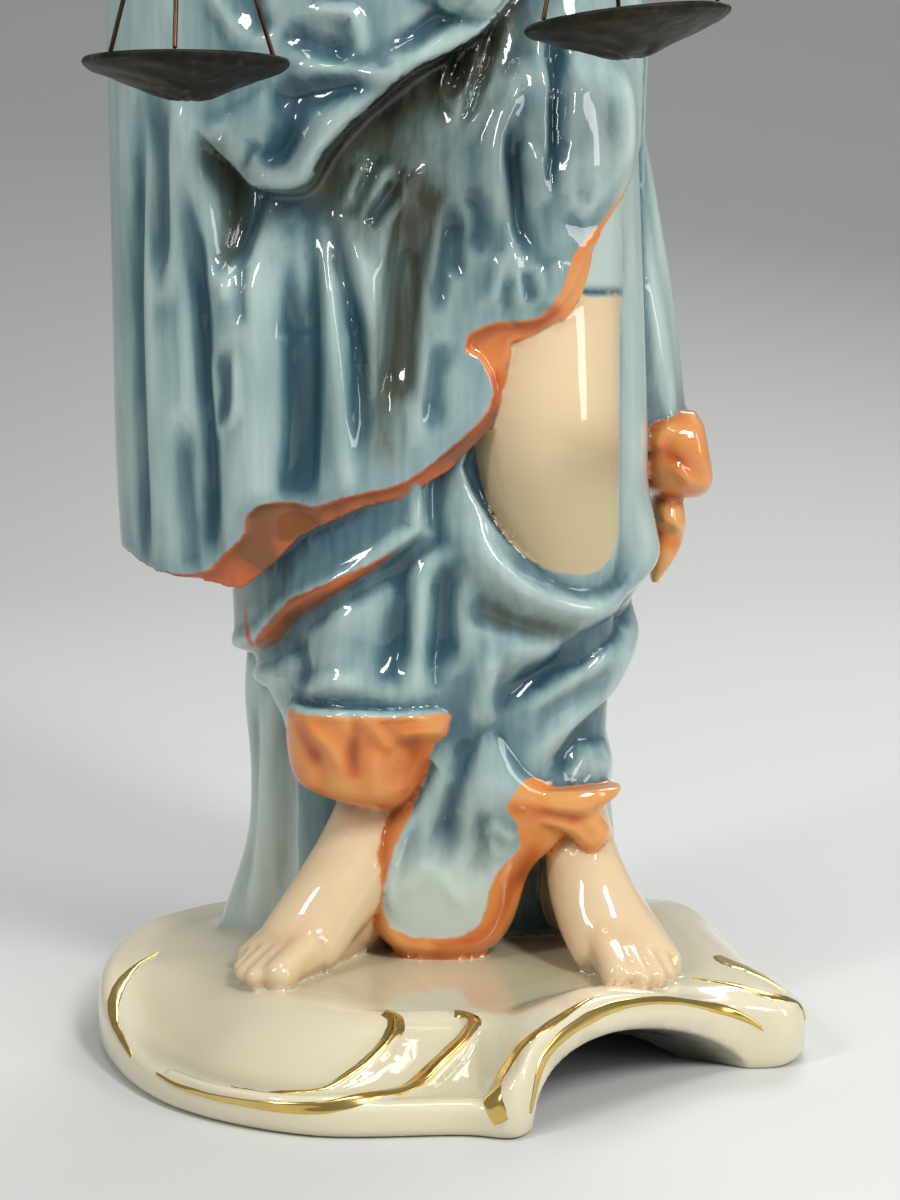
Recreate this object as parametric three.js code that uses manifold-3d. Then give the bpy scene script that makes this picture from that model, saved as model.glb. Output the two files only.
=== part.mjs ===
// A glazed porcelain figurine of a blindfolded goddess who holds up a small brass balance.
// She stands barefoot on a low rococo base, in a gown under a wide mantle whose lining shows at the hem.
// Millimetres, +Z up, the viewer stands at -Y, and the origin is under the middle of the base.
import * as THREE from "three";
import { mergeVertices } from "three/addons/utils/BufferGeometryUtils.js";
import Module from "manifold-3d";

const wasm = await Module();
wasm.setup();

const deckHeight = 13;
const archRimHeight = 17.4;
const archOpeningHeight = 13.8;
const cavityRoof = 6.4;

const bodyMiddleY = 12;
const kneeHeight = 104;
const shoulderHeight = 271;
const shoulderHalfWidth = 30;
const chinHeight = 293.5;

const panRadius = 15.6;
const panDepth = 5.2;
const panWall = 0.8;
const wireRadius = 0.45;
const wireLength = 44;
const fitGap = 0.3;

const v3 = (x, y, z) => new THREE.Vector3(x, y, z);
const mix = THREE.MathUtils.lerp;
const smooth = THREE.MathUtils.smoothstep;

// Reads a table of rows [height, value, value, ...] at any height, with soft steps between the rows.
function readAt(table, height) {
  const last = table.length - 1;
  if (height <= table[0][0]) return table[0].slice(1);
  if (height >= table[last][0]) return table[last].slice(1);
  const i = table.findIndex((row) => row[0] > height);
  const t = (height - table[i - 1][0]) / (table[i][0] - table[i - 1][0]);
  return table[i].slice(1).map((value, k) => mix(table[i - 1][k + 1], value, t));
}

// A closed surface over stacked loops of points, each loop counter-clockwise about the way they are stacked.
function loft(loops, bottomMiddle, topMiddle) {
  const around = loops[0].length;
  const middleOf = (loop) =>
    loop.reduce((sum, p) => sum.add(p), v3(0, 0, 0)).divideScalar(around);
  const points = [...loops.flat()];
  const bottom = points.push(bottomMiddle ?? middleOf(loops[0])) - 1;
  const top = points.push(topMiddle ?? middleOf(loops.at(-1))) - 1;
  const faces = [];
  for (let j = 0; j < around; j++) {
    const next = (j + 1) % around;
    faces.push(bottom, next, j);
    for (let i = 0; i < loops.length - 1; i++) {
      const low = i * around;
      const high = low + around;
      faces.push(low + j, low + next, high + next);
      faces.push(low + j, high + next, high + j);
    }
    const lastLoop = (loops.length - 1) * around;
    faces.push(top, lastLoop + j, lastLoop + next);
  }
  const geometry = new THREE.BufferGeometry().setFromPoints(points);
  geometry.setIndex(faces);
  return geometry;
}

function toSolid(geometry) {
  const plain = geometry.clone();
  plain.deleteAttribute("normal");
  plain.deleteAttribute("uv");
  const merged = mergeVertices(plain, 1e-4);
  return new wasm.Manifold(
    new wasm.Mesh({
      numProp: 3,
      vertProperties: merged.attributes.position.array,
      triVerts: new Uint32Array(merged.index.array),
    }),
  );
}

function toGeometry(solid) {
  const mesh = solid.getMesh();
  const geometry = new THREE.BufferGeometry();
  geometry.setAttribute("position", new THREE.BufferAttribute(mesh.vertProperties, 3));
  geometry.setIndex(new THREE.BufferAttribute(mesh.triVerts, 1));
  return geometry.toNonIndexed();
}

const joined = (solids) => solids.reduce((sum, solid) => sum.add(solid));

// A limb, roll or ribbon through the given points. A radius is one number, or two where the section is oval.
// With four sides and one quarter turn the section is a flat ribbon.
function tube(points, radii, sides = 10, steps = 10, quarter = 0) {
  const path = new THREE.CatmullRomCurve3(points.map((p) => v3(...p)));
  const frames = path.computeFrenetFrames(steps, false);
  const loops = [];
  for (let i = 0; i <= steps; i++) {
    const place = path.getPointAt(i / steps);
    const spot = (i / steps) * (radii.length - 1);
    const low = Math.min(Math.floor(spot), radii.length - 2);
    const pair = [radii[low], radii[low + 1]].map((r) => (Array.isArray(r) ? r : [r, r]));
    const [across, deep] = [0, 1].map((k) => mix(pair[0][k], pair[1][k], spot - low));
    loops.push(
      Array.from({ length: sides }, (_, j) => {
        const angle = (j / sides + quarter / 8) * 2 * Math.PI;
        return place
          .clone()
          .addScaledVector(frames.normals[i], Math.cos(angle) * deep)
          .addScaledVector(frames.binormals[i], Math.sin(angle) * across);
      }),
    );
  }
  return toSolid(loft(loops));
}

function ball(middle, radii, turn = [0, 0, 0], sides = 12, rings = 8) {
  const geometry = new THREE.SphereGeometry(1, sides, rings);
  const place = new THREE.Matrix4().compose(
    v3(...middle),
    new THREE.Quaternion().setFromEuler(
      new THREE.Euler(...turn.map(THREE.MathUtils.degToRad)),
    ),
    v3(...radii),
  );
  return toSolid(geometry.applyMatrix4(place));
}

// How far a point is from a bent line, and how far along the line it is, from 0 to 1.
function nearLine(line, x, z) {
  let best = { distance: Infinity, along: 0 };
  for (let i = 0; i < line.length - 1; i++) {
    const [ax, az] = line[i];
    const [bx, bz] = line[i + 1];
    const length2 = (bx - ax) ** 2 + (bz - az) ** 2;
    const t = THREE.MathUtils.clamp(((x - ax) * (bx - ax) + (z - az) * (bz - az)) / length2, 0, 1);
    const distance = Math.hypot(x - mix(ax, bx, t), z - mix(az, bz, t));
    if (distance < best.distance) best = { distance, along: (i + t) / (line.length - 1) };
  }
  return best;
}

// Each group of folds runs from its first line to its last, as seen from the front, in x and z.
// A negative height is a furrow, a positive one a ridge.
const mantleFolds = [
  {
    height: -2.6,
    width: 2.4,
    count: 3,
    first: [[-53, 176], [-52.8, 125], [-52.6, 80]],
    last: [[-44, 170], [-43.5, 120], [-41.5, 80]],
  },
  { height: -6, width: 4.6, count: 1, first: [[-40, 153], [-37, 140], [-36, 126]] },
  { height: -1.6, width: 2.2, count: 1, first: [[-38.5, 122], [-38.5, 86]] },
  {
    height: -3.2,
    width: 2.9,
    count: 3,
    first: [[-25.5, 144], [-25, 118], [-25, 90]],
    last: [[-5, 158], [-9.5, 130], [-10.5, 98]],
  },
  {
    height: -5.5,
    width: 3.2,
    count: 1,
    first: [[8, 180], [-18, 154.5], [-27, 144.5], [-34, 144.5], [-41, 155]],
  },
  { height: 3.2, width: 3.6, count: 1, first: [[6, 184], [-12, 166.5], [-27, 164], [-38, 170]] },
  { height: 4, width: 7, count: 1, first: [[-31, 156], [-22, 155]] },
  { height: 1.7, width: 1.9, count: 2, first: [[-8, 155], [-18, 141]], last: [[-6, 146], [-16, 132]] },
  {
    height: -2.4,
    width: 2.1,
    count: 4,
    first: [[7, 172], [-1, 156], [-3, 140]],
    last: [[20, 174], [17, 156], [16, 144]],
  },
  { height: 2.5, width: 7, count: 1, first: [[22, 160], [22, 146]] },
  { height: 1.3, width: 1.9, count: 3, first: [[6, 138], [3, 126]], last: [[20, 138], [17, 128]] },
];
const gownFolds = [
  {
    height: 3.6,
    width: 3.1,
    count: 1,
    first: [[0, 97], [5, 84], [15, 76], [26, 75], [33, 83], [35, 98]],
  },
  { height: -3, width: 3, count: 1, first: [[6, 74], [15, 70]] },
  {
    height: -4.4,
    width: 3.2,
    count: 2,
    first: [[34, 77], [19, 63], [8, 54]],
    last: [[27, 57], [18, 47], [13, 43]],
  },
  { height: 2.4, width: 3, count: 1, first: [[33, 67], [19, 54], [12, 46]] },
  {
    height: -3.4,
    width: 2.5,
    count: 2,
    first: [[-8.5, 84], [-8.2, 62], [-9, 56]],
    last: [[0, 80], [1.5, 60], [3, 48]],
  },
  { height: 3, width: 8, count: 1, first: [[-18, 73], [-17, 66]] },
];

function foldLines(group) {
  return Array.from({ length: group.count }, (_, i) => {
    const t = group.count > 1 ? i / (group.count - 1) : 0;
    return group.first.map(([x, z], k) =>
      group.last ? [mix(x, group.last[k][0], t), mix(z, group.last[k][1], t)] : [x, z],
    );
  });
}

function foldHeight(groups, x, z) {
  let sum = 0;
  for (const group of groups)
    for (const line of foldLines(group)) {
      const { distance, along } = nearLine(line, x, z);
      if (distance > 3 * group.width) continue;
      const fade = 0.35 + 0.65 * smooth(Math.min(along, 1 - along), 0, 0.16);
      sum += group.height * fade * Math.exp(-((distance / group.width) ** 2));
    }
  return sum;
}

// Pleats that hang down the back, deeper towards the hem.
function backPleats(turn, z, count, depth) {
  const wave = 1 - Math.abs(Math.sin((count * turn) / 2 + 0.35 * Math.sin(z / 30)));
  return -depth * (wave ** 1.6) * mix(1, 0.45, smooth(z, 90, 215));
}

const squareness = 2.25;
const bent = (value) => Math.sign(value) * Math.abs(value) ** (2 / squareness);

// A point on cloth round the body. The turn is 0 at the front and runs by her left, the viewer's right.
function clothPoint(shape, turn, z) {
  const [left, right, front, back] = readAt(shape.outline, z);
  const halfWidth = (right - left) / 2;
  const halfDepth = (back - front) / 2;
  const x = (left + right) / 2 + halfWidth * bent(Math.sin(turn));
  const y = (front + back) / 2 - halfDepth * bent(Math.cos(turn));
  const facing = smooth(Math.cos(turn), -0.25, 0.15);
  const out =
    facing * (foldHeight(shape.folds, x, z) + shape.bulge(x, z)) +
    (1 - facing) * backPleats(turn, z, shape.pleats, shape.pleatDepth);
  const normal = v3(Math.sin(turn) / halfWidth, -Math.cos(turn) / halfDepth, 0).normalize();
  return v3(x, y, z).addScaledVector(normal, out);
}

function clothSolid(shape, around, rows, hemOf, topOf, hollow, crown) {
  const loops = Array.from({ length: rows + 1 }, (_, i) =>
    Array.from({ length: around }, (_, j) => {
      // The columns stand closer together in front, where the folds are finer.
      const even = (j / around) * 2 * Math.PI;
      const turn = even - 0.38 * Math.sin(even);
      return clothPoint(shape, turn, mix(hemOf(turn), topOf(turn), (i / rows) ** shape.rowSpread));
    }),
  );
  return toSolid(loft(loops, v3(...hollow), v3(...crown)));
}

const thighHeight = kneeHeight + 34;
const thighBulge = (x, z) => 3 * Math.exp(-(((x - 20) / 11) ** 2) - ((z - thighHeight) / 26) ** 2);

// Rows of [height, leftmost x, rightmost x, front y, back y].
const gown = {
  outline: [
    [40, -29, 28.5, -7, 32],
    [54, -32, 27.5, -8, 33],
    [63, -36, 32, -9, 36],
    [80, -37, 34, -11, 37],
    [100, -36, 34.5, -9, 36],
    [125, -34, 33.4, -8, 33],
    [176, -31, 31, -8, 30],
    [200, -22, 22, -6, 27],
  ],
  folds: gownFolds,
  bulge: () => 0,
  pleats: 18,
  pleatDepth: 2,
  rowSpread: 1.3,
};

const mantle = {
  outline: [
    [76, -57, 35, -13, 40],
    [100, -58, 35, -14, 41],
    [135, -58, 34.5, -15, 41],
    [176, -58, 34, -16, 39],
    [200, -56, 30, -14, 35],
    [214, -53, 28, -12, 32],
    [230, -49, 30, -6, 30],
    [250, -41, 34, 0, 28],
    [264, -34, 35, 5, 27],
    [280, -24, 29, 8, 25],
  ],
  folds: mantleFolds,
  bulge: thighBulge,
  pleats: 18,
  pleatDepth: 3.6,
  rowSpread: 1.15,
};

// The mantle's hem as seen from the front: [x, height].
const hemLine = [
  [-57, 82], [-52, 80.5], [-47.7, 80], [-41, 79], [-35.4, 78.5], [-30.5, 86], [-24.5, 89.4],
  [-8, 94.8], [0, 99.3], [7.2, 108], [9.3, 117.5], [14, 121.5], [20.8, 127.4], [22.4, 136.6],
  [26, 143.4], [30, 153], [31.5, 164.6], [33.5, 178],
];
const tailAngle = THREE.MathUtils.degToRad(104);

function mantleHem(turn) {
  const angle = turn > Math.PI ? turn - 2 * Math.PI : turn;
  const [left, right] = readAt(mantle.outline, 110);
  const x = (left + right) / 2 + ((right - left) / 2) * bent(Math.sin(angle));
  if (Math.abs(angle) <= Math.PI / 2) return readAt(hemLine, x)[0];
  if (angle > 0 && angle < tailAngle) return mix(178, 104, smooth(angle, Math.PI / 2, tailAngle));
  const behind = angle > 0 ? (Math.PI - angle) / (Math.PI - tailAngle) : 0;
  return mix(80, 104, smooth(behind, 0.3, 1)) + 2.5 * Math.sin(5 * angle);
}

// The mantle's upper edge: low in front, over the right forearm, and up to the shoulders behind.
const mantleTopTable = [
  [-180, 274], [-150, 268], [-125, 246], [-100, 226], [-60, 219], [-25, 205], [0, 201],
  [45, 199], [80, 200], [97, 208], [120, 258], [142, 279], [180, 274],
];

function mantleTop(turn) {
  const degrees = THREE.MathUtils.radToDeg(turn > Math.PI ? turn - 2 * Math.PI : turn);
  return readAt(mantleTopTable, degrees)[0];
}

const groundFold = {
  outline: [
    [deckHeight - 2, -42.5, 31, 13, 40],
    [20, -40, 30, 12, 39],
    [30, -36.8, 30, 10, 38],
    [54, -35.4, 25, 8, 37],
    [62, -33, 24, 9, 32],
  ],
  folds: [{ height: -2, width: 2, count: 1, first: [[-33, 60], [-34, 12]] }],
  bulge: () => 0,
  pleats: 18,
  pleatDepth: 2.4,
  rowSpread: 1,
};

// The tongue of the gown that reaches the ground between the feet: [height, middle x, middle y, half width].
const tongueRows = [
  [deckHeight - 1.5, -0.5, 1, 12],
  [15, -0.5, -0.5, 13.2],
  [22, -0.5, -1.5, 13],
  [30, 0.5, -3, 11],
  [40, 1.5, -5, 8.6],
  [52, 2, -6, 7.5],
  [64, 2, -5, 7],
];

function tongueSolid() {
  const around = 18;
  const thick = 4.2;
  const loops = tongueRows.map(([z, x, y, half]) =>
    Array.from({ length: around }, (_, j) => {
      const turn = (j / around) * 2 * Math.PI;
      const furrow = 1.9 * Math.exp(-((Math.sin(turn) / 0.3) ** 2)) * smooth(z, 20, 34);
      const front = -thick * bent(Math.cos(turn)) + (Math.cos(turn) > 0 ? furrow : 0);
      return v3(x + half * bent(Math.sin(turn)), y + front, z);
    }),
  );
  return toSolid(loft(loops));
}

// Her foot from the heel to the ends of the toes, with the great toe standing out.
function footSolid(heel, toeLine, outward) {
  const flat = v3(toeLine[0] - heel[0], toeLine[1] - heel[1], 0);
  const length = flat.length();
  const ahead = flat.normalize();
  const side = v3(-ahead.y, ahead.x, 0).multiplyScalar(outward);
  // Rows of [share of the way to the toe line, height of the middle, half width, half height].
  const sections = [
    [-0.1, 6.5, 2.4, 3.2],
    [-0.04, 7, 4.6, 6],
    [0.12, 8.5, 5.8, 8.5],
    [0.34, 9.5, 5.7, 9],
    [0.56, 6.6, 6.8, 6.6],
    [0.8, 4.4, 8.2, 4.6],
    [1, 3, 8.2, 3],
    [1.12, 2.2, 6, 1.8],
  ];
  const around = 8;
  const loops = sections.map(([share, z, half, tall]) =>
    Array.from({ length: around }, (_, j) => {
      const turn = (j / around) * 2 * Math.PI;
      return v3(heel[0], heel[1], deckHeight + z - 0.6)
        .addScaledVector(ahead, share * length)
        .addScaledVector(v3(-ahead.y, ahead.x, 0), Math.cos(turn) * half)
        .add(v3(0, 0, Math.sin(turn) * tall));
    }),
  );
  const heading = THREE.MathUtils.radToDeg(Math.atan2(ahead.y, ahead.x));
  const greatToe = v3(heel[0], heel[1], deckHeight + 2.2)
    .addScaledVector(ahead, length * 1.06)
    .addScaledVector(side, -5.6);
  const toe = ball(greatToe.toArray(), [5, 3, 2.8], [0, 0, heading], 6, 4);
  return toSolid(loft(loops)).add(toe);
}

// The base's scalloped outline at the table, seen from above; the last four points are the foot of the arch.
const outlineMarks = [
  [60.6, -9], [61, 9], [55, 33], [38, 50.5], [0, 55.6], [-37, 51.5], [-56.5, 34], [-61, 10],
  [-58, -15], [-44, -41], [-22, -54], [3, -54], [10, -55.6], [14.5, -50], [29, -36.5],
  [46, -22.5], [56, -20],
].map(([x, y]) => v3(x, y, 0));
const outlineCurve = new THREE.CatmullRomCurve3(outlineMarks, true, "centripetal");
const baseAround = 38;
const outline = outlineCurve.getSpacedPoints(baseAround).slice(0, baseAround);

const archFoot = v3(30, -38, 0);
const archOutward = v3(0.689, -0.725, 0);
const archAcross = v3(0.725, 0.689, 0);

// The height of the arch's opening along its face, steep on the near side and long on the far side.
function archHeight(along, spread, top) {
  const reach = (along + 5) / ((along < -5 ? 18.5 : 31) + spread);
  const power = along < -5 ? 2.3 : 1.6;
  return Math.abs(reach) >= 1 ? 0 : top * (1 - Math.abs(reach) ** power) ** (1 / power);
}

function rimHeight(p) {
  const along = p.clone().sub(archFoot).dot(archAcross);
  const out = p.clone().sub(archFoot).dot(archOutward);
  const rise = 5.9 * smooth(p.y + 0.35 * Math.abs(p.x), -18, 26);
  const corner = 2.4 * smooth(p.x, 30, 52) * (1 - smooth(p.y, 0, 30));
  return Math.max(5.6 + rise + corner, archHeight(along, 6.5, archRimHeight) * smooth(out, -26, -12));
}

// The wall, the rim, the trough inside it and the deck: [share of the outline, share of the rim's height].
const wallRows = [[0.975, 0], [1, 0.3], [0.998, 0.8], [0.965, 1]];
const deckRows = [0.9, 0.82, 0.68, 0.52];

function deckAt(p, share) {
  const rim = rimHeight(p);
  const trough = 1.1 * Math.exp(-(((share - 0.87) / 0.06) ** 2)) * (1 - smooth(rim, 8, 13));
  return mix(deckHeight, rim, smooth(share, 0.5, 0.88)) - trough;
}

const scaledPoint = (p, share, z) => p.clone().multiplyScalar(share).setZ(z);

function baseSolid() {
  const walls = wallRows.map(([share, up]) => outline.map((p) => scaledPoint(p, share, rimHeight(p) * up)));
  const deck = deckRows.map((share) => outline.map((p) => scaledPoint(p, share, deckAt(p, share))));
  return toSolid(loft([...walls, ...deck], v3(0, 0, 0), v3(0, 0, deckHeight)));
}

function cavitySolid() {
  const rows = [[0.7, -1], [0.7, cavityRoof - 2], [0.6, cavityRoof]];
  const thinned = outline.filter((_, i) => i % 3 === 0);
  return toSolid(loft(rows.map(([share, z]) => thinned.map((p) => scaledPoint(p, share, z)))));
}

// The tunnel behind the arch: it opens outwards and runs down and in to the hollow under the base.
function archSolid() {
  const steps = 9;
  const loops = [[-24, 0.6, 7.5], [-10, 0.86, 11.6], [14, 1, archOpeningHeight]].map(([out, wide, top]) => {
    const roof = Array.from({ length: steps + 1 }, (_, i) => {
      const along = mix(-23.5, 26, i / steps);
      const height = Math.max(archHeight(along, 0, top), 0);
      return v3(0, 0, height)
        .addScaledVector(archAcross, along * wide)
        .addScaledVector(archOutward, out)
        .add(archFoot);
    });
    const sill = [roof.at(-1).clone().setZ(-1), roof[0].clone().setZ(-1)];
    return [...roof, ...sill].reverse();
  });
  return toSolid(loft(loops));
}

// Raised scrolls, each a tapering roll half sunk in the base: points of [x, y, height], then radii.
function scrollSolids() {
  const onDeck = (x, y, lift) => {
    const p = v3(x, y, 0);
    const alike = (q) => q.dot(p) / q.length();
    const edge = outline.reduce((best, q) => (alike(q) > alike(best) ? q : best));
    return [x, y, deckAt(edge, Math.min(p.length() / edge.length(), 0.97)) + lift];
  };
  const outer = [
    [2.5, -29.5], [4.2, -35], [2.5, -40], [-1.5, -45], [-8, -50.5], [-16, -52.6], [-24, -52.6],
    [-32, -49.6], [-38, -45.4], [-44, -38.6],
  ];
  const inner = [
    [-8.5, -30], [-8, -34], [-9, -39], [-12, -43.6], [-17, -47.4], [-22, -49], [-28, -48.6],
    [-34, -46],
  ];
  const roll = (line, lift, radii, steps) => tube(line.map(([x, y]) => onDeck(x, y, lift)), radii, 4, steps);
  return [
    roll(outer, -0.3, [0.7, 1.8, 1.6, 1.3, 1.1, 0.9, 0.7], 8),
    roll(inner, -0.3, [0.6, 1.3, 1, 0.8, 0.5], 6),
  ];
}

function lowerDrapery() {
  const cuff = tube(
    [[-28.5, -1, 49.5], [-20, -6, 49], [-9, -8.5, 49], [-1, -5, 49.5]],
    [[4.5, 7], [5.5, 8], [5.5, 8], [4.5, 7]],
    8,
    4,
  );
  const overfold = tube(
    [[-36, 8, 63], [-32, -3, 66], [-23, -9.5, 74], [-11, -12.5, 82]],
    [1, 2.2, 2.2, 1],
    5,
    4,
  );
  const shinHem = tube([[8, -7, 40], [17, -11, 38.5], [27.5, -3, 40]], [[2, 1.6], [3, 2.6], [2, 1.6]], 5, 4);
  const shinFold = tube(
    [[27, -4, 36], [24, -5, 32.5], [14, -8, 33], [11, -5, 27]],
    [2, 2.6, 2.6, 1.6],
    5,
    5,
  );
  const hemZigzag = tube(
    [[-46, 0, 79], [-37, -4, 77.5], [-31, -8, 84], [-34, -9, 90]],
    [1.6, 2.6, 3, 1.4],
    5,
    5,
  );
  const kneeZigzag = tube(
    [[7, -12.5, 106], [9, -13.4, 115], [3.4, -13.6, 119], [13, -14.6, 121]],
    [1.6, 1.9, 2.1, 1.4],
    6,
    6,
  );
  const tailUpper = ball([42.5, 25, 96], [6.4, 8, 8.2], [0, 12, 20], 8, 6);
  const tailLower = tube([[40, 24, 94], [41.5, 23, 85], [37, 22, 76]], [5, 4.8, 2], 6, 4);
  return [cuff, overfold, shinHem, shinFold, hemZigzag, kneeZigzag, tailUpper, tailLower];
}

// The part of the mantle that falls from her left shoulder and flares behind her left side.
function tailSolid() {
  // Rows of [height, middle x, middle y, half width, half depth].
  const rows = [
    [90, 37.5, 25, 5, 7.5],
    [103, 36, 25, 6.4, 9],
    [125, 32.5, 25, 7, 10],
    [154, 27, 24, 7, 10],
    [190, 20, 22, 6, 8],
  ];
  const around = 10;
  const loops = rows.map(([z, x, y, half, deep]) =>
    Array.from({ length: around }, (_, j) => {
      const turn = (j / around) * 2 * Math.PI;
      return v3(x + half * bent(Math.sin(turn)), y - deep * bent(Math.cos(turn)), z);
    }),
  );
  return toSolid(loft(loops));
}

function legSolids() {
  const leftLeg = tube(
    [[14, 9, 168], [15.4, 2, 130], [16, -2.5, kneeHeight], [18, 1, 82], [20.5, 10, 48], [22.5, 14, 24]],
    [13, 13.2, 12.8, 10.2, 7, 5.6],
    8,
    6,
  );
  const rightShin = tube([[-6, 16, 62], [-8, 15, 40], [-9.5, 15, 22]], [10, 6.4, 5.8], 8, 3);
  const rightFoot = footSolid([-6, 20, 0], [-30, -12, 0], -1);
  const leftFoot = footSolid([21, 19, 0], [32, -14, 0], 1);
  return [leftLeg, rightShin, rightFoot, leftFoot];
}

// Rows of [height, half width, half depth, middle y].
const torsoRows = [
  [202, 20, 15, 10.5],
  [213, 17.4, 12.8, 10.5],
  [224, 19, 14, 9.5],
  [246, 22.4, 16.6, 7.6],
  [254, 23.8, 15.8, 9],
  [262, 26, 13.2, 11.5],
  [271, 28.5, 10.4, 13.5],
  [277, 23, 8.6, 14],
  [282, 12, 7.4, 14],
  [287, 7.4, 6.8, 13],
];

function torsoSolids() {
  const around = 12;
  const loops = torsoRows.map(([z, half, deep, y]) =>
    Array.from({ length: around }, (_, j) => {
      const turn = (j / around) * 2 * Math.PI;
      return v3(half * Math.sin(turn), y - deep * Math.cos(turn), z);
    }),
  );
  const bust = [-1, 1].map((side) => ball([9 * side, 0.4, 246.5], [10.6, 10.4, 10.4], [0, 0, 0], 8, 6));
  const belt = tube(
    [[-18, 9, 215], [-12.5, -0.5, 214.6], [0, -3.6, 214], [12.5, -0.5, 214.6], [18, 9, 215]],
    [1.6, 2.2, 2.2, 2.2, 1.6],
    4,
    6,
  );
  const neck = tube([[0, 13.5, 276], [0, 11.5, 290], [-0.5, 9.5, 302]], [8.4, 6.4, 6.8], 8, 2);
  return [toSolid(loft(loops)), ...bust, belt, neck];
}

const balanceGrip = [-6.5, -37, 231];
const ringRadius = 4.2;
const ringWire = 0.6;

function armSolids() {
  const shoulderAt = (side) => [shoulderHalfWidth * side, 14, shoulderHeight - 1];
  const rightUpper = tube([shoulderAt(-1), [-38, 16, 246], [-44, 18, 219]], [8.4, 7.4, 6.6], 7, 2);
  const leftUpper = tube([shoulderAt(1), [38, 17, 246], [43.5, 20, 219]], [8.4, 7.4, 6.6], 7, 2);
  const rightFore = tube([[-44.5, 18, 218], [-30, -2, 225], [-17, -22, 231]], [6.4, 5.8, 3.9], 7, 3);
  const leftFore = tube([[44, 20, 218], [35, 2, 210], [23, -13, 202]], [6.4, 5.8, 3.9], 7, 3);
  const sleeves = [-1, 1].map((side) =>
    tube([[25 * side, 13.5, 276], [33 * side, 14.5, 265], [38.5 * side, 16.5, 247]], [8, 10.4, 9.6], 8, 3),
  );
  const overForearm = tube(
    [[-47, 22, 214], [-44, 12, 222], [-33, -3, 227], [-25, -13, 229.5]],
    [8, 9.2, 8.4, 7],
    8,
    4,
  );
  return [rightUpper, leftUpper, rightFore, leftFore, ...sleeves, overForearm];
}

// Her right hand is closed but for the forefinger, which carries the balance's ring.
function handSolids() {
  const [gx, gy, gz] = balanceGrip;
  const rightPalm = ball([gx - 7.5, gy + 9, gz + 0.2], [4, 7.6, 4.8], [0, 0, 35], 7, 5);
  const forefinger = tube(
    [[gx - 6, gy + 5.5, gz + 2.6], [gx, gy, gz + 0.4], [gx + 3, gy - 4.4, gz + 2.4]],
    [1.9, 1.5, 1.2],
    5,
    3,
  );
  const curled = [0, 1, 2].map((k) =>
    tube(
      [
        [gx - 7.2, gy + 5.6 + 0.5 * k, gz + 0.4 - 2.3 * k],
        [gx - 3.4, gy + 3.4 + 0.8 * k, gz - 0.6 - 2.3 * k],
        [gx - 2.6, gy + 7 + 0.6 * k, gz - 1 - 2.2 * k],
      ],
      [1.7, 1.6, 1.3],
      4,
      2,
    ),
  );
  const thumb = tube(
    [[gx - 10.5, gy + 7.6, gz + 3.4], [gx - 7, gy + 3, gz + 5], [gx - 3.4, gy + 2.6, gz + 4.4]],
    [2, 1.8, 1.3],
    4,
    2,
  );
  const leftPalm = ball([14, -16.6, 196.2], [7.8, 4.9, 6.4], [0, 25, 25], 7, 5);
  const leftFingers = [0, 1, 2, 3].map((k) =>
    tube(
      [
        [18.5, -17.4, 199.5 - 1.5 * k],
        [11.5 + 0.8 * k, -20.2, 200.2 - 2.5 * k],
        [6.6 + 1.1 * k, -18.8, 197.2 - 2.5 * k],
        [6.4 + 1.4 * k, -14, 195 - 2.3 * k],
      ],
      [1.8, 1.6, 1.3],
      4,
      3,
    ),
  );
  const gathered = tube(
    [[12, -12, 210], [12, -15, 199], [9, -14, 188], [2, -13, 176]],
    [5, 4.2, 6, 8],
    7,
    4,
  );
  return [rightPalm, forefinger, ...curled, thumb, leftPalm, ...leftFingers, gathered];
}

function headSolids() {
  const eyes = chinHeight + 20.5;
  const skull = ball([-0.5, 8.6, eyes + 3], [13, 15.6, 16], [0, 0, 0], 8, 6);
  const face = ball([-0.5, 3.4, eyes - 6.5], [10.6, 10.8, 14], [8, 0, 0], 10, 8);
  const nose = tube(
    [[-0.5, -6.4, eyes], [-0.5, -9, eyes - 6], [-0.5, -7.6, eyes - 8]],
    [1.1, 1.8, 1.3],
    4,
    2,
  );
  const lips = ball([-0.5, -5.6, eyes - 11.8], [3.2, 1.7, 1.4], [0, 0, 0], 6, 4);
  const chin = ball([-0.5, -1.6, eyes - 17.2], [4.2, 3.6, 3.2], [0, 0, 0], 6, 4);
  const bandPoints = Array.from({ length: 13 }, (_, i) => {
    const turn = (i / 12) * 2 * Math.PI;
    return [-0.5 + 12.7 * Math.sin(turn), 8.6 + 15.2 * Math.cos(turn), eyes + 0.5 - 0.8 * Math.cos(turn)];
  });
  const band = tube(bandPoints, [[2.2, 5.2], [2.2, 5.2]], 4, 12, 1);
  const cap = ball([-0.5, 11, eyes + 6], [13.8, 15.8, 14.2], [0, 0, 0], 10, 6);
  const wings = [-1, 1].map((side) =>
    tube(
      [
        [0, -4, eyes + 13.6],
        [side * 6.5, -3.8, eyes + 11.5],
        [side * 10.6, 0.6, eyes + 6.6],
        [side * 12.4, 8, eyes],
        [side * 10.4, 18, eyes - 4],
        [side * 3, 25, eyes - 4],
      ],
      [2.4, 3.2, 3.6, 3.8, 4, 3],
      5,
      7,
    ),
  );
  const bun = ball([-0.5, 27.5, eyes - 2], [8, 6.8, 7.8], [0, 0, 0], 8, 5);
  const bandTails = [-1, 1].map((side) =>
    tube(
      [
        [side * 2, 24, eyes + 1],
        [side * 7, 25.5, eyes - 11],
        [side * 7.5, 23.5, eyes - 24],
        [side * 9, 23.5, eyes - 35],
      ],
      [[2.6, 1.6], [3.2, 1.6], [3.6, 1.7], [4, 1.8]],
      4,
      4,
      1,
    ),
  );
  return [skull, face, nose, lips, chin, band, cap, ...wings, bun, ...bandTails];
}

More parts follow.
